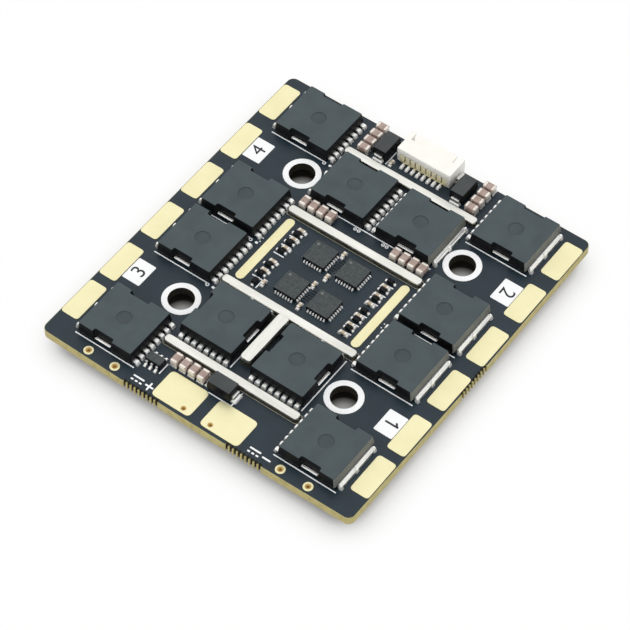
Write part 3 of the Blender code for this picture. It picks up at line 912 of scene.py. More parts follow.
def softened_node(node: str, name: str, edge: float, finish: Finish) -> None:
    """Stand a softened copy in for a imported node.

    The copy's doubles are merged, its flat faces joined and its edges rounded by a bevel.

    Args:
        node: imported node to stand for.
        name: name of the new piece.
        edge: size of the rounding.
        finish: finish to dress it in.
    """
    work = bmesh.new()
    work.from_mesh(frame["nodes"][node].data)
    bmesh.ops.remove_doubles(work, verts=work.verts, dist=DOUBLES)
    bmesh.ops.dissolve_limit(work, angle_limit=FLAT_ANGLE, verts=work.verts, edges=work.edges)
    mesh = bpy.data.meshes.new(name)
    work.to_mesh(mesh)
    work.free()
    mesh.materials.clear()
    mesh.materials.append(finish.material())
    bevel = settled(name, mesh, (node,)).modifiers.new("softened_edges", "BEVEL")
    bevel.width = edge
    bevel.segments = 2
    bevel.limit_method = "ANGLE"
    bevel.angle_limit = BEVEL_ANGLE


def nodes_named(*starts: str) -> list[str]:
    """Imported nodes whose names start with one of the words, in order of name."""
    return sorted(node for node in frame["nodes"] if node.startswith(starts))


def upright(node: str) -> bool:
    """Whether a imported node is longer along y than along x."""
    low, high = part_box(node)
    return high[1] - low[1] > high[0] - low[0]


@dataclass(frozen=True)
class Seat:
    """Where a part sits: its middle, its turn about z and the board face it is soldered to."""

    x: float
    y: float
    z: float
    angle: float
    side: Side

    def matrix(self) -> Matrix:
        """Matrix from the part's own frame, z out of the board, to the board's.

        Returns:
            The matrix.
        """
        turn = Matrix.Rotation(self.angle, 4, "Z")
        if self.side is Side.BOTTOM:
            turn = turn @ Matrix.Rotation(math.pi, 4, "X")
        return Matrix.Translation((self.x, self.y, self.z)) @ turn

    @staticmethod
    def of(node: str, angle: float = 0.0) -> "Seat":
        """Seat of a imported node, on its face next to the board.

        Args:
            node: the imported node.
            angle: its turn about z.

        Returns:
            The seat.
        """
        low, high = (Vector(corner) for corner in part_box(node))
        board_low, board_high = (Vector(corner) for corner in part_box("circuit_board"))
        above = (low.z + high.z) / 2 > (board_low.z + board_high.z) / 2
        middle = (low + high) / 2
        side = Side.TOP if above else Side.BOTTOM
        return Seat(middle.x, middle.y, low.z if above else high.z, angle, side)

    @staticmethod
    def along(node: str) -> "Seat":
        """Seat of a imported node, turned so that x runs along its longer side."""
        return Seat.of(node, QUARTER if upright(node) else 0.0)


class BoardPlace:
    """Edges and faces of the board, read from the frame."""

    def __init__(self) -> None:
        """Read the board's box."""
        low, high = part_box("circuit_board")
        self.half = high[0]
        self.front, self.rear = low[1], high[1]
        self.bottom, self.top = low[2] + PAD_RISE, high[2] - PAD_RISE

    def holes(self) -> list:
        """Centres of the four screw holes."""
        half = HOLE_PITCH / 2
        return [(sx * half, PATTERN_Y + sy * half) for sx in BOTH for sy in BOTH]


@dataclass
class CircuitBoard:
    """Laminate with solder mask, drilled and bitten out where it was broken from its panel."""

    corner: float = 1.2 * MM
    arc_steps: int = 9
    bites: int = 9
    bite_pitch: float = 0.75 * MM
    bite_radius: float = 0.25 * MM
    bite_depth: float = 0.03 * MM
    tooth: float = 0.22 * MM
    front_bite_x: float = 9.55 * MM
    side_bite_y: float = -1.25 * MM
    edge: float = 0.08 * MM
    hole_steps: int = 48
    drill_steps: int = 20
    test_x: tuple = (15.4 * MM, 20.4 * MM)
    test_edge: float = 1.1 * MM
    test_hole: float = 0.7 * MM
    test_ring: float = 1.6 * MM
    sense_x: float = 2.5 * MM
    sense_edge: float = 1.2 * MM
    sense_hole: float = 0.6 * MM
    collar: float = 0.13 * MM
    collar_rise: float = 0.01 * MM
    collar_edge: float = 0.003 * MM
    round_steps: int = 24
    plating: float = 0.05 * MM
    plating_out: float = 0.005 * MM
    plating_lip: float = 0.02 * MM
    land_edge: float = 0.03 * MM
    motor_pad: tuple = (3.25 * MM, 7.3 * MM, 0.6 * MM)
    battery_pad: tuple = (7.1 * MM, 5.3 * MM, 0.8 * MM)
    battery_x: float = 4.5 * MM
    battery_edge: float = 0.4 * MM
    strip: tuple = (14.1 * MM, 1.55 * MM)
    strip_x: float = 10.87 * MM
    seat_clear: float = 0.15 * MM
    seat_edge: float = 0.04 * MM
    seat_steps: int = 64

    def arc(self, x: float, y: float, radius: float, start: float, end: float) -> np.ndarray:
        """Points on an arc."""
        angle = start + (end - start) * np.linspace(0.0, 1.0, self.arc_steps)
        return np.stack([x + radius * np.cos(angle), y + radius * np.sin(angle)], axis=1)

    def outline(self, place: BoardPlace) -> Outline:
        """Board outline: four quarter circles, with half circles bitten out between torn teeth on two edges.

        Args:
            place: where the board lies.

        Returns:
            The outline, from the right edge's bites round to the front right corner.
        """
        inner = place.half - self.corner
        rear, front = place.rear - self.corner, place.front + self.corner
        steps = spread(self.bites, self.bite_pitch)
        torn = np.array([self.tooth, 0.0])
        path = []
        for s in steps:
            middle = PATTERN_Y + self.side_bite_y + s
            bite = self.arc(place.half, middle, self.bite_radius, -QUARTER, -3 * QUARTER)
            path.append(np.concatenate([bite[:1] + torn, bite, bite[-1:] + torn]))
        path.append(self.arc(inner, rear, self.corner, 0.0, QUARTER))
        path.append(self.arc(-inner, rear, self.corner, QUARTER, 2 * QUARTER))
        path.append(self.arc(-inner, front, self.corner, 2 * QUARTER, 3 * QUARTER))
        torn = torn[::-1]
        for middle in (-self.front_bite_x, self.front_bite_x):
            for s in steps:
                bite = self.arc(middle + s, place.front, self.bite_radius, 2 * QUARTER, 0.0)
                path.append(np.concatenate([bite[:1] - torn, bite, bite[-1:] - torn]))
        path.append(self.arc(inner, front, self.corner, 3 * QUARTER, 4 * QUARTER))
        return Outline(np.concatenate(path))

    def test_places(self, place: BoardPlace) -> list:
        """Centres of the test holes."""
        return [(side * x, place.front + self.test_edge) for side in BOTH for x in self.test_x]

    def sense_places(self, place: BoardPlace) -> list:
        """Centres of the small holes in the battery lands."""
        return [(side * self.sense_x, place.front + self.sense_edge) for side in BOTH]

    def drills(self, place: BoardPlace) -> list:
        """Centre and size of every small hole: the test holes, then those in the battery lands."""
        tests = [(centre, self.test_hole) for centre in self.test_places(place)]
        return tests + [(centre, self.sense_hole) for centre in self.sense_places(place)]

    def drilled(self, size: float, centre: tuple) -> Outline:
        """Outline of a small drilled hole."""
        return circle(size / 2, self.drill_steps, centre)

    def motor_places(self) -> list:
        """Middles of the motor lands, from the record's own mounts."""
        mounts = frame["record"]["mounts"]
        return [m["pos_m"][:2] for m in mounts if m["name"].startswith("motor_pad")]

    def build(self, place: BoardPlace) -> None:
        """Make the board, its lands and its seat rings.

        Args:
            place: where the board lies.
        """
        holes = [circle(HOLE_DIAMETER / 2, self.hole_steps, c) for c in place.holes()]
        holes += [self.drilled(size, c) for c, size in self.drills(place)]
        looks = (BoardLook.EDGE, BoardLook.SHADED_BORE)
        core = plate(self.outline(place), holes, place.bottom, place.top, self.edge, *looks)
        self.paint_bite_shade(core, place)
        piece("board_core", core, [MASK, LAMINATE, SHADED_BORE], ("circuit_board",))
        faces = ((place.top, place.top + PAD_RISE), (place.bottom - PAD_RISE, place.bottom))
        low, high = faces[1][0], faces[0][1]
        self.collars(place, high)
        self.lands(place, faces)
        self.barrels(place, low, high)
        self.seats(place, faces)

    def paint_bite_shade(self, core: Shell, place: BoardPlace) -> None:
        """Paint shade into the bites with the bores' near-black finish: wall faces whose middle lies inside
        the straight edge.

        Args:
            core: the board's surface.
            place: where the board lies.
        """
        walls = np.flatnonzero(np.array(core.looks) == BoardLook.EDGE)
        x, y, _ = core.points[np.array([core.faces[i] for i in walls])].mean(axis=1).T
        inner = place.half - self.corner
        front = (y > place.front + self.bite_depth) & (y < place.front + self.corner) & (np.abs(x) < inner)
        side = (x < place.half - self.bite_depth) & (x > inner) & (np.abs(y) < inner)
        for face in walls[front | side]:
            core.looks[face] = BoardLook.SHADED_BORE

    def collars(self, place: BoardPlace, high: float) -> None:
        """Dark collar on the upper lands round every small hole.

        Args:
            place: where the board lies.
            high: height of the lands' upper face.
        """
        found = []
        for centre, size in self.drills(place):
            rim = circle(size / 2 + self.collar, self.round_steps, centre)
            hole = self.drilled(size, centre)
            found.append(plate(rim, [hole], high, high + self.collar_rise, self.collar_edge))
        piece("hole_collars", merged(found), [COLLAR])

    def barrels(self, place: BoardPlace, low: float, high: float) -> None:
        """Bright plating inside every small hole, from land to land.

        Args:
            place: where the board lies.
            low: height of the lower lands' outer face.
            high: height of the upper lands' outer face.
        """
        found = []
        for centre, size in self.drills(place):
            inner, outer, lip = size / 2 - self.plating, size / 2 + self.plating_out, self.plating_lip
            section = [(outer, low), (outer, high), (inner + lip, high), (inner, high - lip)]
            section += [(inner, low + lip), (inner + lip, low)]
            found.append(turned(np.array(section), self.round_steps).at(*centre))
        piece("plated_barrels", merged(found), [BARREL])

    def lands(self, place: BoardPlace, faces: tuple) -> None:
        """Gold lands: motor and battery pads and test rings on both faces, and long strips on the upper one.

        Args:
            place: where the board lies.
            faces: lower and upper height of the lands, for both faces.
        """
        found = {"motor": [], "battery": [], "strip": [], "test": []}
        for low, high in faces:
            for spot in self.motor_places():
                pad = rectangle(*self.motor_pad).at(*spot)
                found["motor"].append(plate(pad, [], low, high, self.land_edge))
            y = place.front + self.battery_edge + self.battery_pad[1] / 2
            for side, sense in zip(BOTH, self.sense_places(place)):
                pad = rectangle(*self.battery_pad).at(side * self.battery_x, y)
                hole = self.drilled(self.sense_hole, sense)
                found["battery"].append(plate(pad, [hole], low, high, self.land_edge))
            for centre in self.test_places(place):
                ring = circle(self.test_ring / 2, centre=centre)
                hole = self.drilled(self.test_hole, centre)
                found["test"].append(plate(ring, [hole], low, high, self.land_edge))
        for side in BOTH:
            land = stadium(*self.strip).at(side * self.strip_x, PATTERN_Y)
            found["strip"].append(plate(land, [], *faces[0], self.land_edge))
        for name, shells in found.items():
            piece(f"{name}_lands", merged(shells), [GOLD])

    def seats(self, place: BoardPlace, faces: tuple) -> None:
        """White printed seat round each screw hole, on both faces.

        Args:
            place: where the board lies.
            faces: lower and upper height of the lands, for both faces.
        """
        found = []
        for (low, high), clear in zip(faces, (0.0, self.seat_clear)):
            for centre in place.holes():
                hole = circle(HOLE_DIAMETER / 2 + clear, self.seat_steps, centre)
                rim = circle(SEAT_DIAMETER / 2, self.seat_steps, centre)
                found.append(plate(rim, [hole], low, high, self.seat_edge))
        piece("screw_seats", merged(found), [INK])


@dataclass
class Transistors:
    """Leadless power transistors: moulded body, leads, drain tab and their solder.

    In its own frame a transistor's leads point to +x, and z = 0 is the underside of the leads.
    """

    length: float = 10.38 * MM
    width: float = 9.9 * MM
    height: float = 2.3 * MM
    foot: tuple = (0.1 * MM, 0.06 * MM)
    parting: float = 0.62 * MM
    draft: float = 0.2 * MM
    edge: float = 0.1 * MM
    notch: tuple = (3.2 * MM, 0.65 * MM)
    notch_x: float = -0.45 * MM
    corner: float = 0.22 * MM
    notch_corners: tuple = (0.12 * MM, 0.3 * MM)
    drain_reflection_depth: float = 0.35 * MM
    mark_radius: float = 1.25 * MM
    mark_steps: int = 40
    mark_rows: tuple = ((0.0, 0.0), (0.05 * MM, 0.09 * MM), (0.15 * MM, 0.09 * MM), (0.45 * MM, 0.063 * MM))
    leads: int = 8
    lead_out: float = 0.65 * MM
    lead_hold: float = 0.35 * MM
    lead_width: float = 0.75 * MM
    lead_height: float = 0.5 * MM
    lead_pitch: float = 1.2 * MM
    lead_edge: float = 0.06 * MM
    tab_width: float = 8.3 * MM
    tie: tuple = (2.95 * MM, 0.46 * MM, 0.2 * MM)
    tie_inset: float = 0.4 * MM
    tie_top: float = 0.78 * MM
    toe: Heap = Heap(0.56 * MM, 0.85 * MM, 0.14 * MM, 0.5 * MM, 0.13 * MM, (-0.1 * MM, 0.0), 3, 2)
    toe_out: float = 0.03 * MM
    tab_heap: Heap = Heap(0.62 * MM, 8.6 * MM, 0.2 * MM, 0.84 * MM, 0.28 * MM, (0.14 * MM, 0.0))
    tab_in: float = 0.34 * MM
    bump: Heap = Heap(0.5 * MM, 0.8 * MM, 0.18 * MM, 0.85 * MM, 0.15 * MM)
    bump_in: float = 0.08 * MM
    bump_y: float = 0.35 * MM
    end_heap: Heap = Heap(0.66 * MM, 0.66 * MM, 0.18 * MM, 0.92 * MM, 0.22 * MM, (0.1 * MM, 0.0))
    end_in: float = 0.15 * MM
    end_y: float = 4.07 * MM

    def outline(self) -> Outline:
        """Rectangle with a notch in each of its two long sides.

        Returns:
            The outline at the parting line.
        """
        x, y = self.length / 2, self.width / 2
        deep = y - self.notch[1]
        near, far = self.notch_x + self.notch[0] / 2, self.notch_x - self.notch[0] / 2
        corners = [(x, -y), (x, y), (near, y), (near, deep), (far, deep), (far, y)]
        corners += [(-x, y), (-x, -y), (far, -y), (far, -deep), (near, -deep), (near, -y)]
        mouth, inner = self.notch_corners
        radii = [self.corner, self.corner, mouth, inner, inner, mouth] * 2
        return Outline(np.array(corners), np.array(radii))

    def mould(self) -> Shell:
        """Moulded body that leans in above its parting line, with a round sunk mark on its lid whose inside
        carries painted shade.

        The lid's cap is left off, and the space between its rim and the mark is filled instead. The flanks
        take painted shade, and those at the drain end a painted reflection of the drain tab.

        Returns:
            The surface.
        """
        high, lean, soft = self.height, self.draft, self.edge
        knee = soft * KNEE_SHARE
        levels = [self.foot, (0.0, self.parting), (lean, high - soft)]
        levels += [(lean + knee, high - knee), (lean + soft, high), (lean + 2 * soft, high)]
        body = loft(self.outline(), levels, flank=MouldLook.SHADED_FLANK, lid=MouldLook.LID, lid_rows=2)
        body.faces.pop()
        body.looks.pop()
        count = len(body.points)
        rim = count // len(levels)
        last = count - rim
        mark = circle(self.mark_radius, self.mark_steps)
        triangles = filled([body.points[last:, :2], mark.corners]) + last
        dish = rings(mark, [(inset, high - depth) for inset, depth in self.mark_rows])
        walls = wall_faces(len(dish), self.mark_steps, count)
        walls.append([count + (len(dish) - 1) * self.mark_steps + i for i in range(self.mark_steps)])
        faces = body.faces + triangles.tolist() + walls
        looks = body.looks + [MouldLook.LID] * len(triangles) + [MouldLook.MARK] * len(walls)
        # Painted reflection of the drain tab: the flank faces within this depth of the drain end take a pale
        # finish.
        end = body.points[:rim, 0] < -self.length / 2 + self.drain_reflection_depth
        for face in np.flatnonzero(end & np.roll(end, -1)):
            looks[rim + face] = MouldLook.DRAIN_REFLECTION
            looks[2 * rim + face] = MouldLook.DRAIN_REFLECTION
        return Shell(np.concatenate([body.points, dish.reshape(-1, 3)]), faces, looks)

    def metal(self) -> Shell:
        """Leads, drain tab and the tie metal that shows in the side notches.

        Returns:
            The surface; the tie metal has the solder's finish.
        """
        long, z = self.lead_out + self.lead_hold, self.lead_height
        middle = self.length / 2 + (self.lead_out - self.lead_hold) / 2
        shells = [
            block((long, self.lead_width, z), (middle, across, z / 2), self.lead_edge)
            for across in spread(self.leads, self.lead_pitch)
        ]
        shells.append(block((long, self.tab_width, z), (-middle, 0.0, z / 2), self.lead_edge))
        for side in BOTH:
            spot = (self.notch_x, side * (self.width / 2 - self.tie_inset), self.tie_top - self.tie[2] / 2)
            shells.append(block(self.tie, spot, self.lead_edge).dressed(MetalLook.SOLDER))
        return merged(shells)

    def solder(self) -> Shell:
        """Solder heaped at each lead's toe and along the drain tab, leaning up towards the metal.

        Returns:
            The surface.
        """
        tip = self.length / 2 + self.lead_out
        places = spread(self.leads, self.lead_pitch)
        shells = [self.toe.shell(tip + self.toe_out, across) for across in places]
        shells.append(self.tab_heap.shell(-tip + self.tab_in, 0.0))
        shells.append(self.bump.shell(-tip + self.bump_in, self.bump_y))
        shells += [self.end_heap.shell(-tip + self.end_in, side * self.end_y) for side in BOTH]
        return merged(shells).dressed(MetalLook.SOLDER)

    @staticmethod
    def heading(node: str) -> float:
        """Direction of a transistor's leads: across the board towards its middle line, or to the front.

        Args:
            node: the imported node.

        Returns:
            The angle about z.
        """
        if upright(node):
            return -QUARTER
        low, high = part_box(node)
        return 0.0 if low[0] + high[0] < 0 else math.pi

    def build(self) -> None:
        """Place every transistor of the frame."""
        mould, metal = self.mould(), merged([self.metal(), self.solder()])
        for node in nodes_named("mosfet"):
            matrix = Seat.of(node, self.heading(node)).matrix()
            looks = [LID, SHADED_FLANK, MARK, TAB_REFLECTION_FLANK]
            piece(f"{node}_mould", mould.moved(matrix), looks, (node,))
            piece(f"{node}_leads", metal.moved(matrix), [TIN_LEAD, SOLDER])


@dataclass
class BusBars:
    """Tinned bars that carry the battery current, on gold lands a little wider than the bars."""

    edge: float = 0.14 * MM
    corner: float = 0.62 * MM
    corner_steps: int = 6
    bed: float = 0.05 * MM
    shoulder: float = 0.6
    crown: tuple = ((0.0, 1.3), (0.1, 0.55), (0.45, 0.12), (1.2, 0.0))
    crown_rows: int = 4
    land: float = 0.22 * MM
    land_line: float = 0.09 * MM
    land_rise: float = 0.03 * MM
    land_edge: float = 0.008 * MM
    landed: tuple = ("bus_bar_upper", "bus_bar_lower", "bus_bar_front")

    def outline(self, width: float, length: float) -> Outline:
        """Rectangle with the bars' round corners."""
        return rectangle(width, length, self.corner, self.corner_steps)

    def bar(self, width: float, length: float, height: float) -> Shell:
        """Bar with round corners and a slightly crowned top, bedded in solder down to the land; its sides
        take painted shade.

        The crown's rows are insets and drops, counted in edge sizes.

        Args:
            width: size along x.
            length: size along y.
            height: size along z.

        Returns:
            The surface.
        """
        levels = [(-self.bed, -SOLDER_GAP), (0.0, self.bed), (0.0, self.shoulder * height)]
        levels += [(inset * self.edge, height - drop * self.edge) for inset, drop in self.crown]
        return loft(self.outline(width, length), levels, BarLook.SIDE, BarLook.CROWN, self.crown_rows)

    def build(self, place: BoardPlace) -> None:
        """Make each bar and the lands under them.

        Args:
            place: where the board lies.
        """
        lands = []
        for node in nodes_named("bus_bar"):
            low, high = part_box(node)
            width, length, height = (high[i] - low[i] for i in range(3))
            matrix = Seat.of(node).matrix()
            finish = TIN_STEM if length > width else TIN_BAR
            bar = self.bar(width, length, height).moved(matrix)
            piece(f"{node}_bar", bar, [finish, BAR_SIDE_SHADE], (node,))
            if node in self.landed:
                outer, inner = (
                    self.outline(width + 2 * out, length + 2 * out).at(*matrix.translation[:2])
                    for out in (self.land, self.land - self.land_line)
                )
                lands.append(plate(outer, [inner], place.top, place.top + self.land_rise, self.land_edge))
        piece("bar_lands", merged(lands), [LAND_LINE])


@dataclass
class ControlChips:
    """Leadless control chips with solder at their edge contacts."""

    side: float = 4.0 * MM
    height: float = 0.85 * MM
    foot: tuple = (0.02 * MM, 0.0)
    parting: float = 0.1 * MM
    edge: float = 0.05 * MM
    corner: float = 0.06 * MM
    contacts: int = 7
    pitch: float = 0.5 * MM
    toe: Heap = Heap(0.4 * MM, 0.26 * MM, 0.08 * MM, 0.26 * MM, 0.08 * MM, (-0.06 * MM, 0.0), 3, 2)
    toe_out: float = 0.16 * MM
    dot: float = 0.24 * MM
    dot_steps: int = 20
    dot_edge: float = 0.02 * MM
    dot_rise: float = 0.006 * MM
    dot_inset: float = 0.62 * MM

    def body(self) -> Shell:
        """Square body with sharp, slightly softened edges."""
        size = (self.side, self.side, self.height)
        return Moulding(*size, self.foot, self.parting, 0.0, self.edge, self.corner).shell()

    def toes(self) -> Shell:
        """One low heap of solder at each contact, on all four sides.

        Returns:
            The surface.
        """
        heap = self.toe.shell()
        shells = []
        for quarter in range(4):
            turn = Matrix.Rotation(quarter * QUARTER, 4, "Z")
            for across in spread(self.contacts, self.pitch):
                shells.append(heap.at(self.side / 2 + self.toe_out, across).moved(turn))
        return merged(shells)

    def build(self) -> None:
        """Place controllers on top and gate drivers underneath."""
        body, toes = self.body(), self.toes()
        corner = self.side / 2 - self.dot_inset
        levels = [(0.0, self.height), (self.dot_edge, self.height + self.dot_rise)]
        spot = loft(circle(self.dot, self.dot_steps), levels).at(-corner, corner)
        dots, solder = [], []
        for node in nodes_named("motor_controller", "gate_driver"):
            matrix = Seat.of(node).matrix()
            piece(f"{node}_body", body.moved(matrix), [CHIP_LID, SHADED_FLANK], (node,))
            dots.append(spot.moved(matrix))
            solder.append(toes.moved(matrix))
        piece("chip_first_contact_dots", merged(dots), [DOT])
        piece("chip_contact_solder", merged(solder), [PIN_SOLDER])


@dataclass(frozen=True)
class ChipShape:
    """Two-ended surface chip along x: a body, two metal ends and the solder under them."""

    length: float
    width: float
    height: float
    end: float
    edge: float = 0.09 * MM
    climb: float = 0.5
    spill: float = 0.16 * MM
    slim: float = 0.04 * MM
    short: float = 0.1 * MM
    body_edge: float = 0.05 * MM
    pad_out: float = 0.1 * MM
    pad_corner: float = 0.1 * MM
    heap_reach: float = 0.7
    heap_lean: float = 0.1 * MM
    heap_in: float = 0.02 * MM

    def body(self) -> Shell:
        """Middle of the chip, a little smaller than its ends."""
        size = (self.length - self.short, self.width - self.slim, self.height - self.slim)
        return block(size, (0.0, 0.0, self.height / 2), self.body_edge)

    def ends(self) -> Shell:
        """Metal caps over both ends and the solder that climbs their faces from the lands.

        Returns:
            The surface.
        """
        size, reach = (self.end, self.width, self.height), self.end / 2 + self.spill
        heap = Heap(2 * reach, self.width + self.pad_out, self.pad_corner, self.climb * self.height,
                    self.heap_reach * reach, (-self.heap_lean, 0.0), rows=4, steps=3)
        caps, solder = [], []
        for side in BOTH:
            spot = (side * (self.length - self.end) / 2, 0.0, self.height / 2)
            caps.append(block(size, spot, self.edge, 3))
            solder.append(heap.shell(side * (self.length / 2 - self.heap_in), side=side))
        return merged([*caps, merged(solder).dressed(MetalLook.SOLDER)])


@dataclass
class CapacitorBanks:
    """Banks of four ceramic capacitors."""

    shape: ChipShape = ChipShape(2.0 * MM, 1.25 * MM, 1.25 * MM, 0.56 * MM, 0.15 * MM, 0.22, -0.14 * MM)
    pitch: float = 1.66 * MM
    count: int = 4

    def bank(self, shell: Shell) -> Shell:
        """The chip's surface repeated along x, each chip turned across the bank."""
        across = shell.moved(Matrix.Rotation(QUARTER, 4, "Z"))
        return merged([across.at(x, 0.0) for x in spread(self.count, self.pitch)])

    def build(self) -> None:
        """Place every bank of the frame."""
        bodies, ends = self.bank(self.shape.body()), self.bank(self.shape.ends())
        for node in nodes_named("capacitor_bank"):
            matrix = Seat.along(node).matrix()
            piece(f"{node}_bodies", bodies.moved(matrix), [CERAMIC], (node,))
            # Painted shade: the solder at the capacitors takes the darker lead finish in place of the
            # solder's.
            piece(f"{node}_ends", ends.moved(matrix), [CAP_END, TIN_LEAD])


@dataclass
class ClampDiodes:
    """Moulded diodes with a bent lead at each end, along x in their own frame."""

    mould: Moulding = Moulding(4.3 * MM, 2.6 * MM, 2.2 * MM, (0.1 * MM, 0.15 * MM), 1.0 * MM,
                               0.13 * MM, 0.08 * MM, 0.1 * MM, 3)
    lead: tuple = (0.6 * MM, 1.5 * MM, 1.1 * MM)
    lead_out: float = 0.1 * MM
    lead_edge: float = 0.1 * MM
    heap: Heap = Heap(1.1 * MM, 1.9 * MM, 0.16 * MM, 0.5 * MM, 0.45 * MM, (-0.2 * MM, 0.0), steps=3)
    heap_out: float = 0.25 * MM

    def leads(self) -> Shell:
        """Bent strips at both ends, with solder at their feet.

        Returns:
            The surface.
        """
        tip, tall = self.mould.length / 2, self.lead[2]
        painted_hole_light = [(side * (tip + self.lead_out), 0.0, tall / 2) for side in BOTH]
        strips = [block(self.lead, spot, self.lead_edge, 3) for spot in painted_hole_light]
        solder = [self.heap.shell(side * (tip + self.heap_out), side=side) for side in BOTH]
        return merged([*strips, merged(solder).dressed(MetalLook.SOLDER)])

    def build(self) -> None:
        """Place every diode of the frame."""
        body, leads = self.mould.shell(), self.leads()
        for node in nodes_named("clamp_diode"):
            matrix = Seat.along(node).matrix()
            piece(f"{node}_body", body.moved(matrix), [DIODE_LID, SHADED_FLANK], (node,))
            piece(f"{node}_leads", leads.moved(matrix), [TIN_LEAD, SOLDER])


@dataclass
class SignalSocket:
    """Ivory side-entry socket with its contacts and solder tabs.

    In its own frame a contact's foot points to -y from the housing's back face at y = 0.
    """

    edge: float = 0.07 * MM
    contact_width: float = 0.3 * MM
    contact_edge: float = 0.03 * MM
    bend: float = 0.05 * MM
    stock: float = 0.22 * MM
    foot: float = 1.38 * MM
    rise: float = 1.62 * MM
    beam: tuple = (1.15 * MM, 1.45 * MM, 3.1 * MM)
    sunk: float = 0.28 * MM
    toe: Heap = Heap(0.54 * MM, 1.05 * MM, 0.16 * MM, 0.36 * MM, 0.24 * MM, (0.0, 0.1 * MM), steps=3)
    toe_in: float = 0.35 * MM
    rib: tuple = (0.74 * MM, 0.04 * MM, 1.7 * MM)
    rib_edge: float = 0.012 * MM
    band: tuple = (9.8 * MM, 0.06 * MM, 1.15 * MM)
    band_edge: float = 0.02 * MM
    tabs: tuple = ("signal_socket_tab_left", "signal_socket_tab_right")
    tab_out: tuple = (0.2 * MM, 0.4 * MM)
    tab_heap: tuple = (0.15 * MM, 0.45 * MM, 0.28 * MM)

    def contact(self) -> Shell:
        """Bent strip, a side view of foot, riser and beam carried across its width, with solder over its toe.

        Returns:
            The surface.
        """
        low, high, tip = self.beam
        thick, foot = self.stock, self.foot
        side = [(-foot, 0.0), (thick, 0.0), (thick, low), (tip, low), (tip, high), (thick, high)]
        side += [(thick, self.rise), (0.0, self.rise), (0.0, thick), (-foot, thick)]
        bent = strip(side, self.contact_width, self.bend, self.contact_edge)
        return merged([bent, self.toe.shell(0.0, -foot + self.toe_in).dressed(MetalLook.SOLDER)])

    def back_face(self, middles: list, back: float, base: float) -> None:
        """Back of the housing: a plain band above, ribs between the contacts below, coloured with painted
        shade.

        Args:
            middles: x of every contact, from left to right.
            back: y of the housing's back face.
            base: z of the contacts' feet.
        """
        half = (middles[1] - middles[0]) / 2
        tall = self.rib[2]
        places = [middles[0] - half, *(x + half for x in middles)]
        ribs = [block(self.rib, (x, back, base + tall / 2), self.rib_edge) for x in places]
        piece("signal_socket_ribs", merged(ribs), [SHADED_RIB])
        centre = ((middles[0] + middles[-1]) / 2, back, base + tall + self.band[2] / 2)
        piece("signal_socket_band", block(self.band, centre, self.band_edge), [NYLON])

    def build(self) -> None:
        """Make the housing, contacts, tabs and the solder at every foot."""
        softened_node("signal_socket_housing", "signal_socket_shell", self.edge, NYLON)
        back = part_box("signal_socket_housing")[0][1]
        contact = self.contact()
        middles = []
        for node in nodes_named("signal_contact"):
            low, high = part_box(node)
            middles.append((low[0] + high[0]) / 2)
            placed = contact.at(middles[-1], back + self.sunk, low[2])
            piece(f"{node}_strip", placed, [BRONZE, PIN_SOLDER], (node,))
        self.back_face(sorted(middles), back, low[2])
        heaps = []
        for node in self.tabs:
            softened_node(node, f"{node}_strip", self.edge, TIN_LEAD)
            low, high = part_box(node)
            size = (high[i] - low[i] + self.tab_out[i] for i in range(2))
            spot = ((low[0] + high[0]) / 2, (low[1] + high[1]) / 2, low[2])
            heaps.append(Heap(*size, *self.tab_heap, steps=3).shell(*spot))
        piece("signal_socket_solder", merged(heaps), [SOLDER])


@dataclass
class SmallPackages:
    """Six-lead packages, long along x in their own frame, and the current shunt."""

    mould: Moulding = Moulding(2.9 * MM, 1.6 * MM, 1.1 * MM, (0.06 * MM, 0.1 * MM), 0.55 * MM,
                               0.07 * MM, 0.05 * MM, 0.07 * MM)
    span: float = 2.8 * MM
    lead: tuple = (0.4 * MM, 0.16 * MM)
    lead_in: float = 0.1 * MM
    lead_edge: float = 0.02 * MM
    knee: float = 0.22 * MM
    bend: float = 0.03 * MM
    knee_shares: tuple = (0.4, 0.6, 0.3)
    pitch: float = 0.95 * MM
    row: int = 3
    heap: Heap = Heap(0.48 * MM, 0.6 * MM, 0.1 * MM, 0.16 * MM, 0.18 * MM, steps=3)
    heap_in: float = 0.05 * MM
    shunt_edge: float = 0.06 * MM

    def leads(self) -> Shell:
        """Gull-wing leads: a side view of foot, riser and shoulder, carried across each lead's width.

        The knee's shares are parts of the thickness, by which the side view's corners stand off the knee.

        Returns:
            The surface, with solder at each foot.
        """
        wide, thick = self.lead
        half, high = self.mould.width / 2, self.mould.parting
        start, tip, knee = half - self.lead_in, self.span / 2, half + self.knee
        out, under, heel = (share * thick for share in self.knee_shares)
        above, below = high + thick / 2, high - thick / 2
        view = [(tip, 0.0), (tip, thick), (knee + out, thick), (knee, above)]
        view += [(start, above), (start, below), (knee - under, below), (knee - heel, 0.0)]
        bent = strip(view, wide, self.bend, self.lead_edge)
        places = spread(self.row, self.pitch)
        shells = []
        for turn in (Matrix.Rotation(angle, 4, "Z") for angle in (0.0, math.pi)):
            shells += [bent.at(x, 0.0).moved(turn) for x in places]
        solder = [self.heap.shell(x, side * (tip - self.heap_in)) for x in places for side in BOTH]
        return merged([*shells, merged(solder).dressed(MetalLook.SOLDER)])

    def build(self) -> None:
        """Place the amplifier, the regulator and the shunt."""
        body, leads = self.mould.shell(), self.leads()
        for node in ("current_sense_amplifier", "step_down_regulator"):
            matrix = Seat.of(node).matrix()
            piece(f"{node}_body", body.moved(matrix), [CHIP_LID, SHADED_FLANK], (node,))
            piece(f"{node}_leads", leads.moved(matrix), [TIN_LEAD, SOLDER])
        softened_node("current_shunt", "current_shunt_bridge", self.shunt_edge, ALLOY)


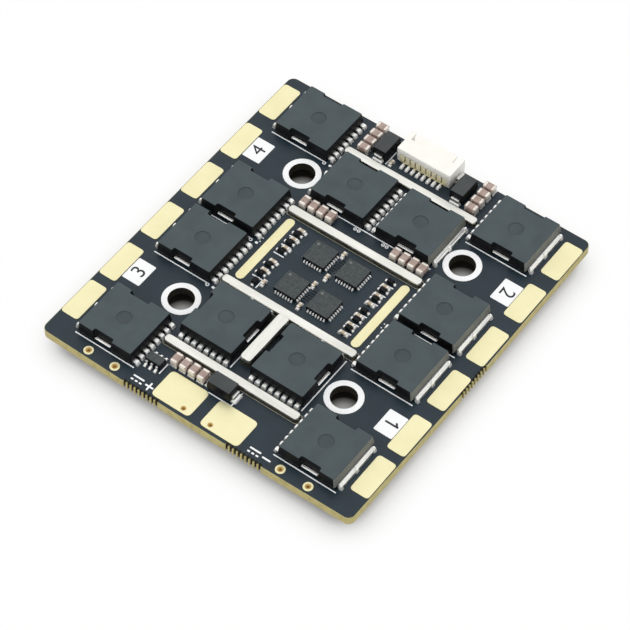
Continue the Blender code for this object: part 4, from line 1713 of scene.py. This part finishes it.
@dataclass
class SmallChips:
    """Smallest parts round the control chips: pale capacitors and dark diodes, paired in two columns."""

    right_x: float = 8.42 * MM
    right_rows: tuple = (6.05, 4.05, 2.05, -0.75, -2.8, -4.75)
    right_cap: tuple = (-0.12 * MM, -1.25 * MM)
    left_x: float = -8.55 * MM
    left_rows: tuple = (5.05, 3.05, 1.0, -2.25, -4.3)
    left_cap: tuple = (0.3 * MM, 0.82 * MM)
    last: tuple = (-8.25 * MM, -6.0 * MM)
    singles: tuple = ((-0.35, 6.0), (0.1, 1.0), (-0.6, -1.25), (0.0, -5.8), (-7.0, -5.5), (-5.2, 25.2))
    paired: ChipShape = ChipShape(1.25 * MM, 0.56 * MM, 0.5 * MM, 0.36 * MM)
    single: ChipShape = ChipShape(1.0 * MM, 0.55 * MM, 0.5 * MM, 0.3 * MM)
    mould: Moulding = Moulding(1.15 * MM, 0.82 * MM, 0.6 * MM, (0.05 * MM, 0.04 * MM), 0.25 * MM,
                               0.06 * MM, 0.05 * MM, 0.05 * MM)
    lead: tuple = (0.36 * MM, 0.34 * MM, 0.15 * MM)
    lead_x: float = 0.66 * MM
    lead_z: float = 0.08 * MM
    lead_edge: float = 0.03 * MM
    heap: Heap = Heap(0.4 * MM, 0.52 * MM, 0.1 * MM, 0.17 * MM, 0.16 * MM, steps=3)
    heap_x: float = 0.8 * MM

    def diode(self) -> Shell:
        """Small moulded diode along x with a flat lead and a solder toe at each end.

        Returns:
            The surface.
        """
        shells = [self.mould.shell(flank=DiodeLook.BODY)]
        for side in BOTH:
            lead = block(self.lead, (side * self.lead_x, 0.0, self.lead_z), self.lead_edge)
            shells.append(lead.dressed(DiodeLook.LEAD))
            shells.append(self.heap.shell(side * self.heap_x).dressed(DiodeLook.SOLDER))
        return merged(shells)

    def columns(self) -> list:
        """Both columns: x, the rows' y in millimetres and where each capacitor lies from its diode."""
        right = (self.right_x, self.right_rows, self.right_cap)
        return [right, (self.left_x, self.left_rows, self.left_cap)]

    def build(self, place: BoardPlace) -> None:
        """Place the chips on both faces, joined by kind.

        Args:
            place: where the board lies.
        """
        diodes, caps = [], []
        for x, rows, (over, up) in self.columns():
            diodes += [(x, y * MM, 0.0) for y in rows]
            caps += [(self.paired, x + over, y * MM + up, 0.0) for y in rows]
        diodes.append((*self.last, QUARTER))
        caps += [(self.single, x * MM, y * MM, QUARTER) for x, y in self.singles]
        faces = ((Side.TOP, place.top + SOLDER_GAP), (Side.BOTTOM, place.bottom - SOLDER_GAP))
        bodies, ends, placed = [], [], []
        moulded = self.diode()
        for side, z in faces:
            for shape, x, y, angle in caps:
                matrix = Seat(x, y + PATTERN_Y, z, angle, side).matrix()
                bodies.append(shape.body().moved(matrix))
                ends.append(shape.ends().moved(matrix))
            for x, y, angle in diodes:
                placed.append(moulded.moved(Seat(x, y + PATTERN_Y, z, angle, side).matrix()))
        piece("small_capacitor_bodies", merged(bodies), [PALE_CERAMIC])
        piece("small_capacitor_ends", merged(ends), [CAP_END, SOLDER])
        piece("bootstrap_diodes", merged(placed), [SHADED_FLANK, TIN_LEAD, SOLDER])


@dataclass
class CoveredTracks:
    """Copper tracks under the mask, which lift it in fine lines that fan out from the control chips."""

    count: int = 7
    pitch: float = 0.5 * MM
    width: float = 0.17 * MM
    corner: float = 0.06 * MM
    sink: float = 0.01 * MM
    rise: float = 0.018 * MM
    edge: float = 0.02 * MM
    start: float = 2.3 * MM
    near: float = 0.9 * MM
    step: float = 0.16 * MM

    def track(self, reach: float) -> Shell:
        """One track along x from the origin, its long edges drawn in towards its top."""
        outline = rectangle(reach, self.width, self.corner, 2).at(reach / 2, 0.0)
        return loft(outline, [(0.0, -self.sink), (self.edge, self.rise)])

    def build(self, place: BoardPlace) -> None:
        """Lay a fan of tracks on both sides of each controller; the outer ones reach further.

        Args:
            place: where the board lies.
        """
        laid = []
        for node in nodes_named("motor_controller"):
            spot = Seat.of(node).matrix().translation
            for turn in (0.0, math.pi):
                seat = Matrix.Translation((spot.x, spot.y, place.top)) @ Matrix.Rotation(turn, 4, "Z")
                for i, across in enumerate(spread(self.count, self.pitch)):
                    track = self.track(self.near + i * self.step).at(self.start, across)
                    laid.append(track.moved(seat))
        piece("covered_tracks", merged(laid), [TRACK])


@dataclass
class PrintedMarks:
    """White printed lines, dashes, rings, number boxes and polarity signs."""

    line: float = 0.19 * MM
    line_corner: float = 0.3
    ring_line: float = 0.9
    ring_edge: float = 0.004 * MM
    ring_steps: int = 20
    box: tuple = (3.3 * MM, 4.35 * MM)
    box_corner: float = 0.2 * MM
    box_x: float = 23.6 * MM
    box_y: float = 15.0 * MM
    digit: float = 3.4 * MM
    digit_rise: float = 1.4 * PRINT_RISE
    outlets: tuple = ((1, -1), (1, 1), (-1, -1), (-1, 1))
    flag: tuple = ((-0.62 * MM, 0.6 * MM), (0.05 * MM, 1.12 * MM))
    flag_width: float = 0.32 * MM
    beside: tuple = (-5.5 * MM, 4.75 * MM, 5.75 * MM, 6.3 * MM)
    beside_y: float = -5.08 * MM
    lead_ring: tuple = (4.95 * MM, -5.3 * MM)
    lead_radius: float = 0.32 * MM
    lead_dot: tuple = (6.05 * MM, -5.25 * MM)
    dot_size: tuple = (0.5 * MM, 0.4 * MM)
    ringed_x: float = 15.0 * MM
    front_row: float = 10.0 * MM
    right_tick: tuple = (8.7, 9.4, -0.72)
    left_tick: tuple = (-9.5, -7.6)
    left_rows: tuple = (4.3, 2.25, 0.3, -5.1)
    strip_ticks: tuple = ((-12.5, 1.45), (-12.5, 0.65), (12.1, -0.8), (12.1, -1.65))
    strip_tick: float = 0.2
    lines: tuple = (
        ((-7.5, -5.1), (-7.5, -6.9)),
        ((-5.9, 24.6), (-5.9, 27.6)),
        ((-1.4, -26.4), (2.85, -26.4)),
        ((2.85, -26.4), (2.85, -23.6)),
        ((-9.3, -28.1), (-9.3, -25.9)),
    )
    pair_x: tuple = (-1.76 * MM, 3.54 * MM)
    pair_step: float = 0.34 * MM
    pair_gap: float = 2.3 * MM
    pair_radius: float = 0.3 * MM
    sign: float = 1.5 * MM
    sign_x: tuple = (-9.0 * MM, 12.7 * MM)
    sign_edge: float = 1.3 * MM
    sign_line: float = 0.28 * MM
    current_gap: float = 2.2 * MM
    current_length: float = 2.0 * MM
    current_rise: float = 0.35 * MM
    dashes: tuple = (-0.76, 0.0, 0.76)
    dash: float = 0.24

    def stroke(self, start: tuple, end: tuple, z: float, width: float) -> Shell:
        """Thin printed line between two points.

        Args:
            start: x and y of one end.
            end: x and y of the other.
            z: height of the face it is printed on.
            width: its width.

        Returns:
            The surface.
        """
        a, b = np.array(start), np.array(end)
        length = float(np.linalg.norm(b - a))
        angle = math.atan2(b[1] - a[1], b[0] - a[0])
        outline = rectangle(length, width, min(width, length) * self.line_corner, 2)
        mark = loft(outline, [(0.0, z - PRINT_SINK), (0.0, z + PRINT_RISE)])
        return mark.moved(Matrix.Rotation(angle, 4, "Z")).at(*(a + b) / 2)

    def level(self, x: float, y: float, half: float, z: float, width: float) -> Shell:
        """Thin printed line along x, half as long to either side of its middle."""
        return self.stroke((x - half, y), (x + half, y), z, width)

    def ring(self, x: float, y: float, z: float, radius: float) -> Shell:
        """Thin printed ring.

        Args:
            x: place of its middle.
            y: place of its middle.
            z: height of the face it is printed on.
            radius: its outer radius.

        Returns:
            The surface.
        """
        outer = circle(radius, self.ring_steps)
        hole = circle(radius - self.line * self.ring_line, self.ring_steps)
        return plate(outer, [hole], z - PRINT_SINK, z + PRINT_RISE, self.ring_edge).at(x, y)

    def transistor_marks(self, place: BoardPlace) -> list:
        """Line beside each transistor and, at the left behind the front row, a ring and a dot.

        Args:
            place: where the board lies.

        Returns:
            The surfaces.
        """
        z = -SOLDER_GAP
        start, *ends = ((x, self.beside_y) for x in self.beside)
        short, long, joined = (self.stroke(start, end, z, self.line) for end in ends)
        long_dot, wide_dot = self.dot_size
        dot = self.level(*self.lead_dot, long_dot / 2, z, wide_dot)
        ringed = merged([short, self.ring(*self.lead_ring, z, self.lead_radius), dot])
        shells = []
        for node in nodes_named("mosfet"):
            heading = Transistors.heading(node)
            matrix = Seat.of(node, heading).matrix()
            x, y, _ = matrix.translation
            own = joined if abs(x) < self.ringed_x and y > PATTERN_Y else long
            if x < -self.ringed_x and y > place.front + self.front_row:
                own = ringed
            mirrored = heading in (math.pi, -QUARTER)
            moved = own.moved(matrix @ Matrix.Scale(-1, 4, (0, 1, 0)) if mirrored else matrix)
            if mirrored:
                moved.faces = [face[::-1] for face in moved.faces]
            shells.append(moved)
        return shells

    def column_marks(self, z: float) -> list:
        """Ticks and corner lines by the small chips, and four rings beside the upper bar.

        Args:
            z: height of the board's upper face.

        Returns:
            The surfaces.
        """
        start, end, drop = self.right_tick
        lines = [((start, y + drop), (end, y + drop)) for y in SmallChips.right_rows]
        start, end = self.left_tick
        lines += [((start, y), (end, y)) for y in self.left_rows]
        lines += [((x, y), (x + self.strip_tick, y)) for x, y in self.strip_ticks]
        lines += self.lines
        ends = np.array(lines) * MM + (0.0, PATTERN_Y)
        marks = [self.stroke(start, end, z, self.line) for start, end in ends]
        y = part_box("bus_bar_upper")[1][1] + self.pair_gap
        for x in self.pair_x:
            marks += [self.ring(x + side * self.pair_step, y, z, self.pair_radius) for side in BOTH]
        return marks

    def battery_marks(self, place: BoardPlace) -> list:
        """Direct-current sign, a line over three dashes, and then plus or minus, beside each battery land.

        Args:
            place: where the board lies.

        Returns:
            The surfaces.
        """
        z, y = place.top, place.front + self.sign_edge
        half, wide, length = self.sign / 2, self.sign_line, self.current_length / 2
        marks = []
        for x in self.sign_x:
            marks.append(self.level(x, y, half, z, wide))
            middle = x - self.current_gap
            marks.append(self.level(middle, y + self.current_rise, length, z, wide))
            for dash in self.dashes:
                spot = middle + dash * length
                marks.append(self.level(spot, y - self.current_rise, self.dash * length, z, wide))
        x = self.sign_x[0]
        marks += [self.stroke((x, y + side * wide / 2), (x, y + side * half), z, wide) for side in BOTH]
        return marks

    def digit_shell(self, number: int) -> Shell:
        """One motor number: a text outline made a mesh.

        Args:
            number: the number.

        Returns:
            The surface, about the origin.
        """
        text = bpy.data.curves.new(f"motor_number_{number}", "FONT")
        text.body = str(number)
        text.size = self.digit
        text.extrude = PRINT_RISE / 2
        text.align_x = "CENTER"
        text.align_y = "CENTER"
        guide = bpy.data.objects.new(text.name, text)
        bpy.context.scene.collection.objects.link(guide)
        graph = bpy.context.evaluated_depsgraph_get()
        mesh = bpy.data.meshes.new_from_object(guide.evaluated_get(graph))
        bpy.data.objects.remove(guide)
        points = np.empty(len(mesh.vertices) * 3)
        mesh.vertices.foreach_get("co", points)
        faces = [list(p.vertices) for p in mesh.polygons]
        return Shell(points.reshape(-1, 3), faces, [0] * len(faces))

    def digits(self, z: float) -> Shell:
        """Motor numbers, each turned to read from its side of the board, the first one with a flag.

        Args:
            z: height of the numbers' middle.

        Returns:
            The surface.
        """
        shells = []
        for number, (sx, sy) in enumerate(self.outlets, start=1):
            spot = Matrix.Translation((sx * self.box_x, PATTERN_Y + sy * self.box_y, z))
            turn = spot @ Matrix.Rotation(-sx * QUARTER, 4, "Z")
            shells.append(self.digit_shell(number).moved(turn))
            if number == 1:
                shells.append(self.stroke(*self.flag, 0.0, self.flag_width).moved(turn))
        return merged(shells)

    def build(self, place: BoardPlace) -> None:
        """Make the white print and the dark numbers on it.

        Args:
            place: where the board lies.
        """
        z = place.top
        marks = self.transistor_marks(place) + self.column_marks(z) + self.battery_marks(place)
        box = loft(rectangle(*self.box, self.box_corner, 3), [(0.0, z - PRINT_SINK), (0.0, z + PRINT_RISE)])
        boxes = [box.at(sx * self.box_x, PATTERN_Y + sy * self.box_y) for sx in BOTH for sy in BOTH]
        piece("printed_marks", merged(marks), [INK])
        piece("printed_number_boxes", merged(boxes), [INK])
        piece("printed_numbers", self.digits(z + self.digit_rise), [DARK_INK])


@dataclass
class Studio:
    """Camera, floor with a painted shadow and painted pools of light, and soft light."""

    eye: tuple = (0.15529, -0.20840, 0.34466)
    lens: float = 161.46
    sensor: float = 36.0
    clip: float = 0.01
    right: tuple = (0.802513, 0.596628, -0.002815)
    down: tuple = (0.476754, -0.644095, -0.598203)
    forward: tuple = (-0.358718, 0.478724, -0.801339)
    floor: float = 3.0
    drop: float = 0.05 * MM
    floor_rough: float = 0.9
    floor_specular: float = 0.1
    shade: tuple = (-3.5 * MM, 5.2 * MM)
    shade_corner: float = 5.0 * MM
    # spot and its share paint pools of light, in colour and glow, on the floor below the screw holes
    spot: tuple = (0.8 * MM, 3.0 * MM)
    hole_light_share: float = 0.2
    glow: float = 0.97
    # deep and under are painted shadow in the floor's colour below the board
    deep: tuple = (0.05, 0.046, 0.036)
    under: tuple = (0.26, 0.245, 0.21)
    shadow_at: float = 0.015
    pale: tuple = (0.86, 0.855, 0.84)
    pale_at: float = 0.4
    key: tuple = (-0.35, 0.30, 0.75)
    key_power: float = 0.7
    key_size: float = 0.9

    def camera(self) -> None:
        """Camera from the photograph's recovered place and lens."""
        made = bpy.data.objects.new("camera", bpy.data.cameras.new("camera"))
        made.data.lens = self.lens
        made.data.sensor_width = self.sensor
        made.data.clip_start = self.clip
        axes = (self.right, [-v for v in self.down], [-v for v in self.forward])
        turn = Matrix([[axis[i] for axis in axes] for i in range(3)]).to_4x4()
        made.matrix_world = Matrix.Translation(self.eye) @ turn
        bpy.context.scene.collection.objects.link(made)
        bpy.context.scene.camera = made

    def ground(self) -> None:
        """Pale floor that takes the board's shadow."""
        half = self.floor / 2
        points = [(x, y, -self.drop) for x, y in ((-half, -half), (half, -half), (half, half), (-half, half))]
        mesh = bpy.data.meshes.new("floor")
        mesh.from_pydata(points, [], [(0, 1, 2, 3)])
        mesh.materials.append(self.floor_material())
        made = bpy.data.objects.new("floor", mesh)
        bpy.context.scene.collection.objects.link(made)

    def floor_material(self) -> bpy.types.Material:
        """Floor that glows white, to the rays that show it, where it is clear of the board, with a painted
        shadow in its colour below the board and painted pools of light, in colour and glow, below the screw
        holes.

        Returns:
            The material.
        """
        bench = NodeBench("pale_floor")
        bench.shader.inputs["Roughness"].default_value = self.floor_rough
        bench.shader.inputs["Specular IOR Level"].default_value = self.floor_specular
        path = bench.add("ShaderNodeLightPath").outputs
        seen = path["Is Camera Ray"]
        for kind in ("Is Glossy Ray", "Is Transmission Ray"):
            seen = bench.joined("MAXIMUM", seen, path[kind])
        lit = bench.joined("MAXIMUM", self.clear(bench), self.painted_hole_light(bench))
        # painted shadow: the floor's colour runs from deep and under below the board to pale clear of it
        stops = ((0.0, self.deep), (self.shadow_at, self.under), (self.pale_at, self.pale))
        bench.link(bench.ramp(lit, *stops), bench.shader.inputs["Base Color"])
        mix = bench.add("ShaderNodeMixShader")
        # the painted pools of light below the holes glow here too
        bench.link(bench.joined("MULTIPLY", seen, lit), mix.inputs["Fac"])
        bench.link(bench.shader.outputs["BSDF"], mix.inputs[1])
        bench.link(bench.add("ShaderNodeEmission").outputs["Emission"], mix.inputs[2])
        bench.link(mix.outputs["Shader"], bench.tree.nodes["Material Output"].inputs["Surface"])
        return bench.material

    def clear(self, bench: NodeBench) -> Socket:
        """How far a floor point is out from under the board: 0 below it, rising to the glow further off.

        The distance is that from a rectangle with round corners: how far the point lies past the corner's
        middle, in x and in y, taken as one length.

        Args:
            bench: the floor's nodes.

        Returns:
            The share, from 0 to the glow.
        """
        _, high = CAD_BOX
        inner = (high[0] - self.shade_corner, high[1] - self.shade_corner, 1.0)
        steps = (("ABSOLUTE", None), ("SUBTRACT", inner), ("MAXIMUM", (0.0, 0.0, 0.0)))
        ends = tuple(self.shade_corner + end for end in self.shade)
        return bench.ranged(self.reach(bench, steps), (0.0, self.glow), ends, Step.SMOOTH)

    def painted_hole_light(self, bench: NodeBench) -> Socket:
        """Painted pool of light below each screw hole, for the light that falls through it: most below the
        hole, 0 off it.

        The distance is that from the nearest hole's middle, found by folding the floor on the holes' pattern.

        Args:
            bench: the floor's nodes.

        Returns:
            The share, from 0 to the spots' share.
        """
        half = HOLE_PITCH / 2
        middle, corner = (0.0, PATTERN_Y, 0.0), (half, half, self.drop)
        steps = (("SUBTRACT", middle), ("ABSOLUTE", None), ("SUBTRACT", corner))
        return bench.ranged(self.reach(bench, steps), (self.hole_light_share, 0.0), self.spot, Step.SMOOTH)

    @staticmethod
    def reach(bench: NodeBench, steps: tuple) -> Socket:
        """Length of the floor point's place after some vector steps.

        Args:
            bench: the floor's nodes.
            steps: pairs of an operation and its second vector, or None where it takes none.

        Returns:
            The length's socket.
        """
        path = bench.place
        for operation, value in (*steps, ("LENGTH", None)):
            node = bench.add("ShaderNodeVectorMath", operation=operation)
            bench.link(path, node.inputs[0])
            if value:
                node.inputs[1].default_value = value
            path = node.outputs["Value" if operation == "LENGTH" else "Vector"]
        return path

    def light(self) -> None:
        """Even white surround and one broad lamp above and behind."""
        world = bpy.data.worlds.new("surround")
        world.use_nodes = True
        back = world.node_tree.nodes["Background"]
        back.inputs["Color"].default_value = (1.0, 1.0, 1.0, 1.0)
        back.inputs["Strength"].default_value = 1.0
        bpy.context.scene.world = world
        lamp = bpy.data.lights.new("key", "AREA")
        lamp.shape = "DISK"
        lamp.size = self.key_size
        lamp.energy = self.key_power
        made = bpy.data.objects.new("key", lamp)
        turn = Vector(self.key).to_track_quat("Z", "Y").to_matrix().to_4x4()
        made.matrix_world = Matrix.Translation(self.key) @ turn
        bpy.context.scene.collection.objects.link(made)

    def build(self) -> None:
        """Set up the whole studio."""
        self.camera()
        self.ground()
        self.light()
        bpy.context.scene.view_settings.view_transform = "Standard"


def main() -> None:
    """Build every sub-assembly in order."""
    logging.basicConfig(level=logging.INFO, format="%(message)s")
    place = BoardPlace()
    CircuitBoard().build(place)
    Transistors().build()
    BusBars().build(place)
    ControlChips().build()
    CapacitorBanks().build()
    ClampDiodes().build()
    SignalSocket().build()
    SmallPackages().build()
    SmallChips().build(place)
    CoveredTracks().build(place)
    PrintedMarks().build(place)
    Studio().build()


if __name__ == "__main__":
    main()
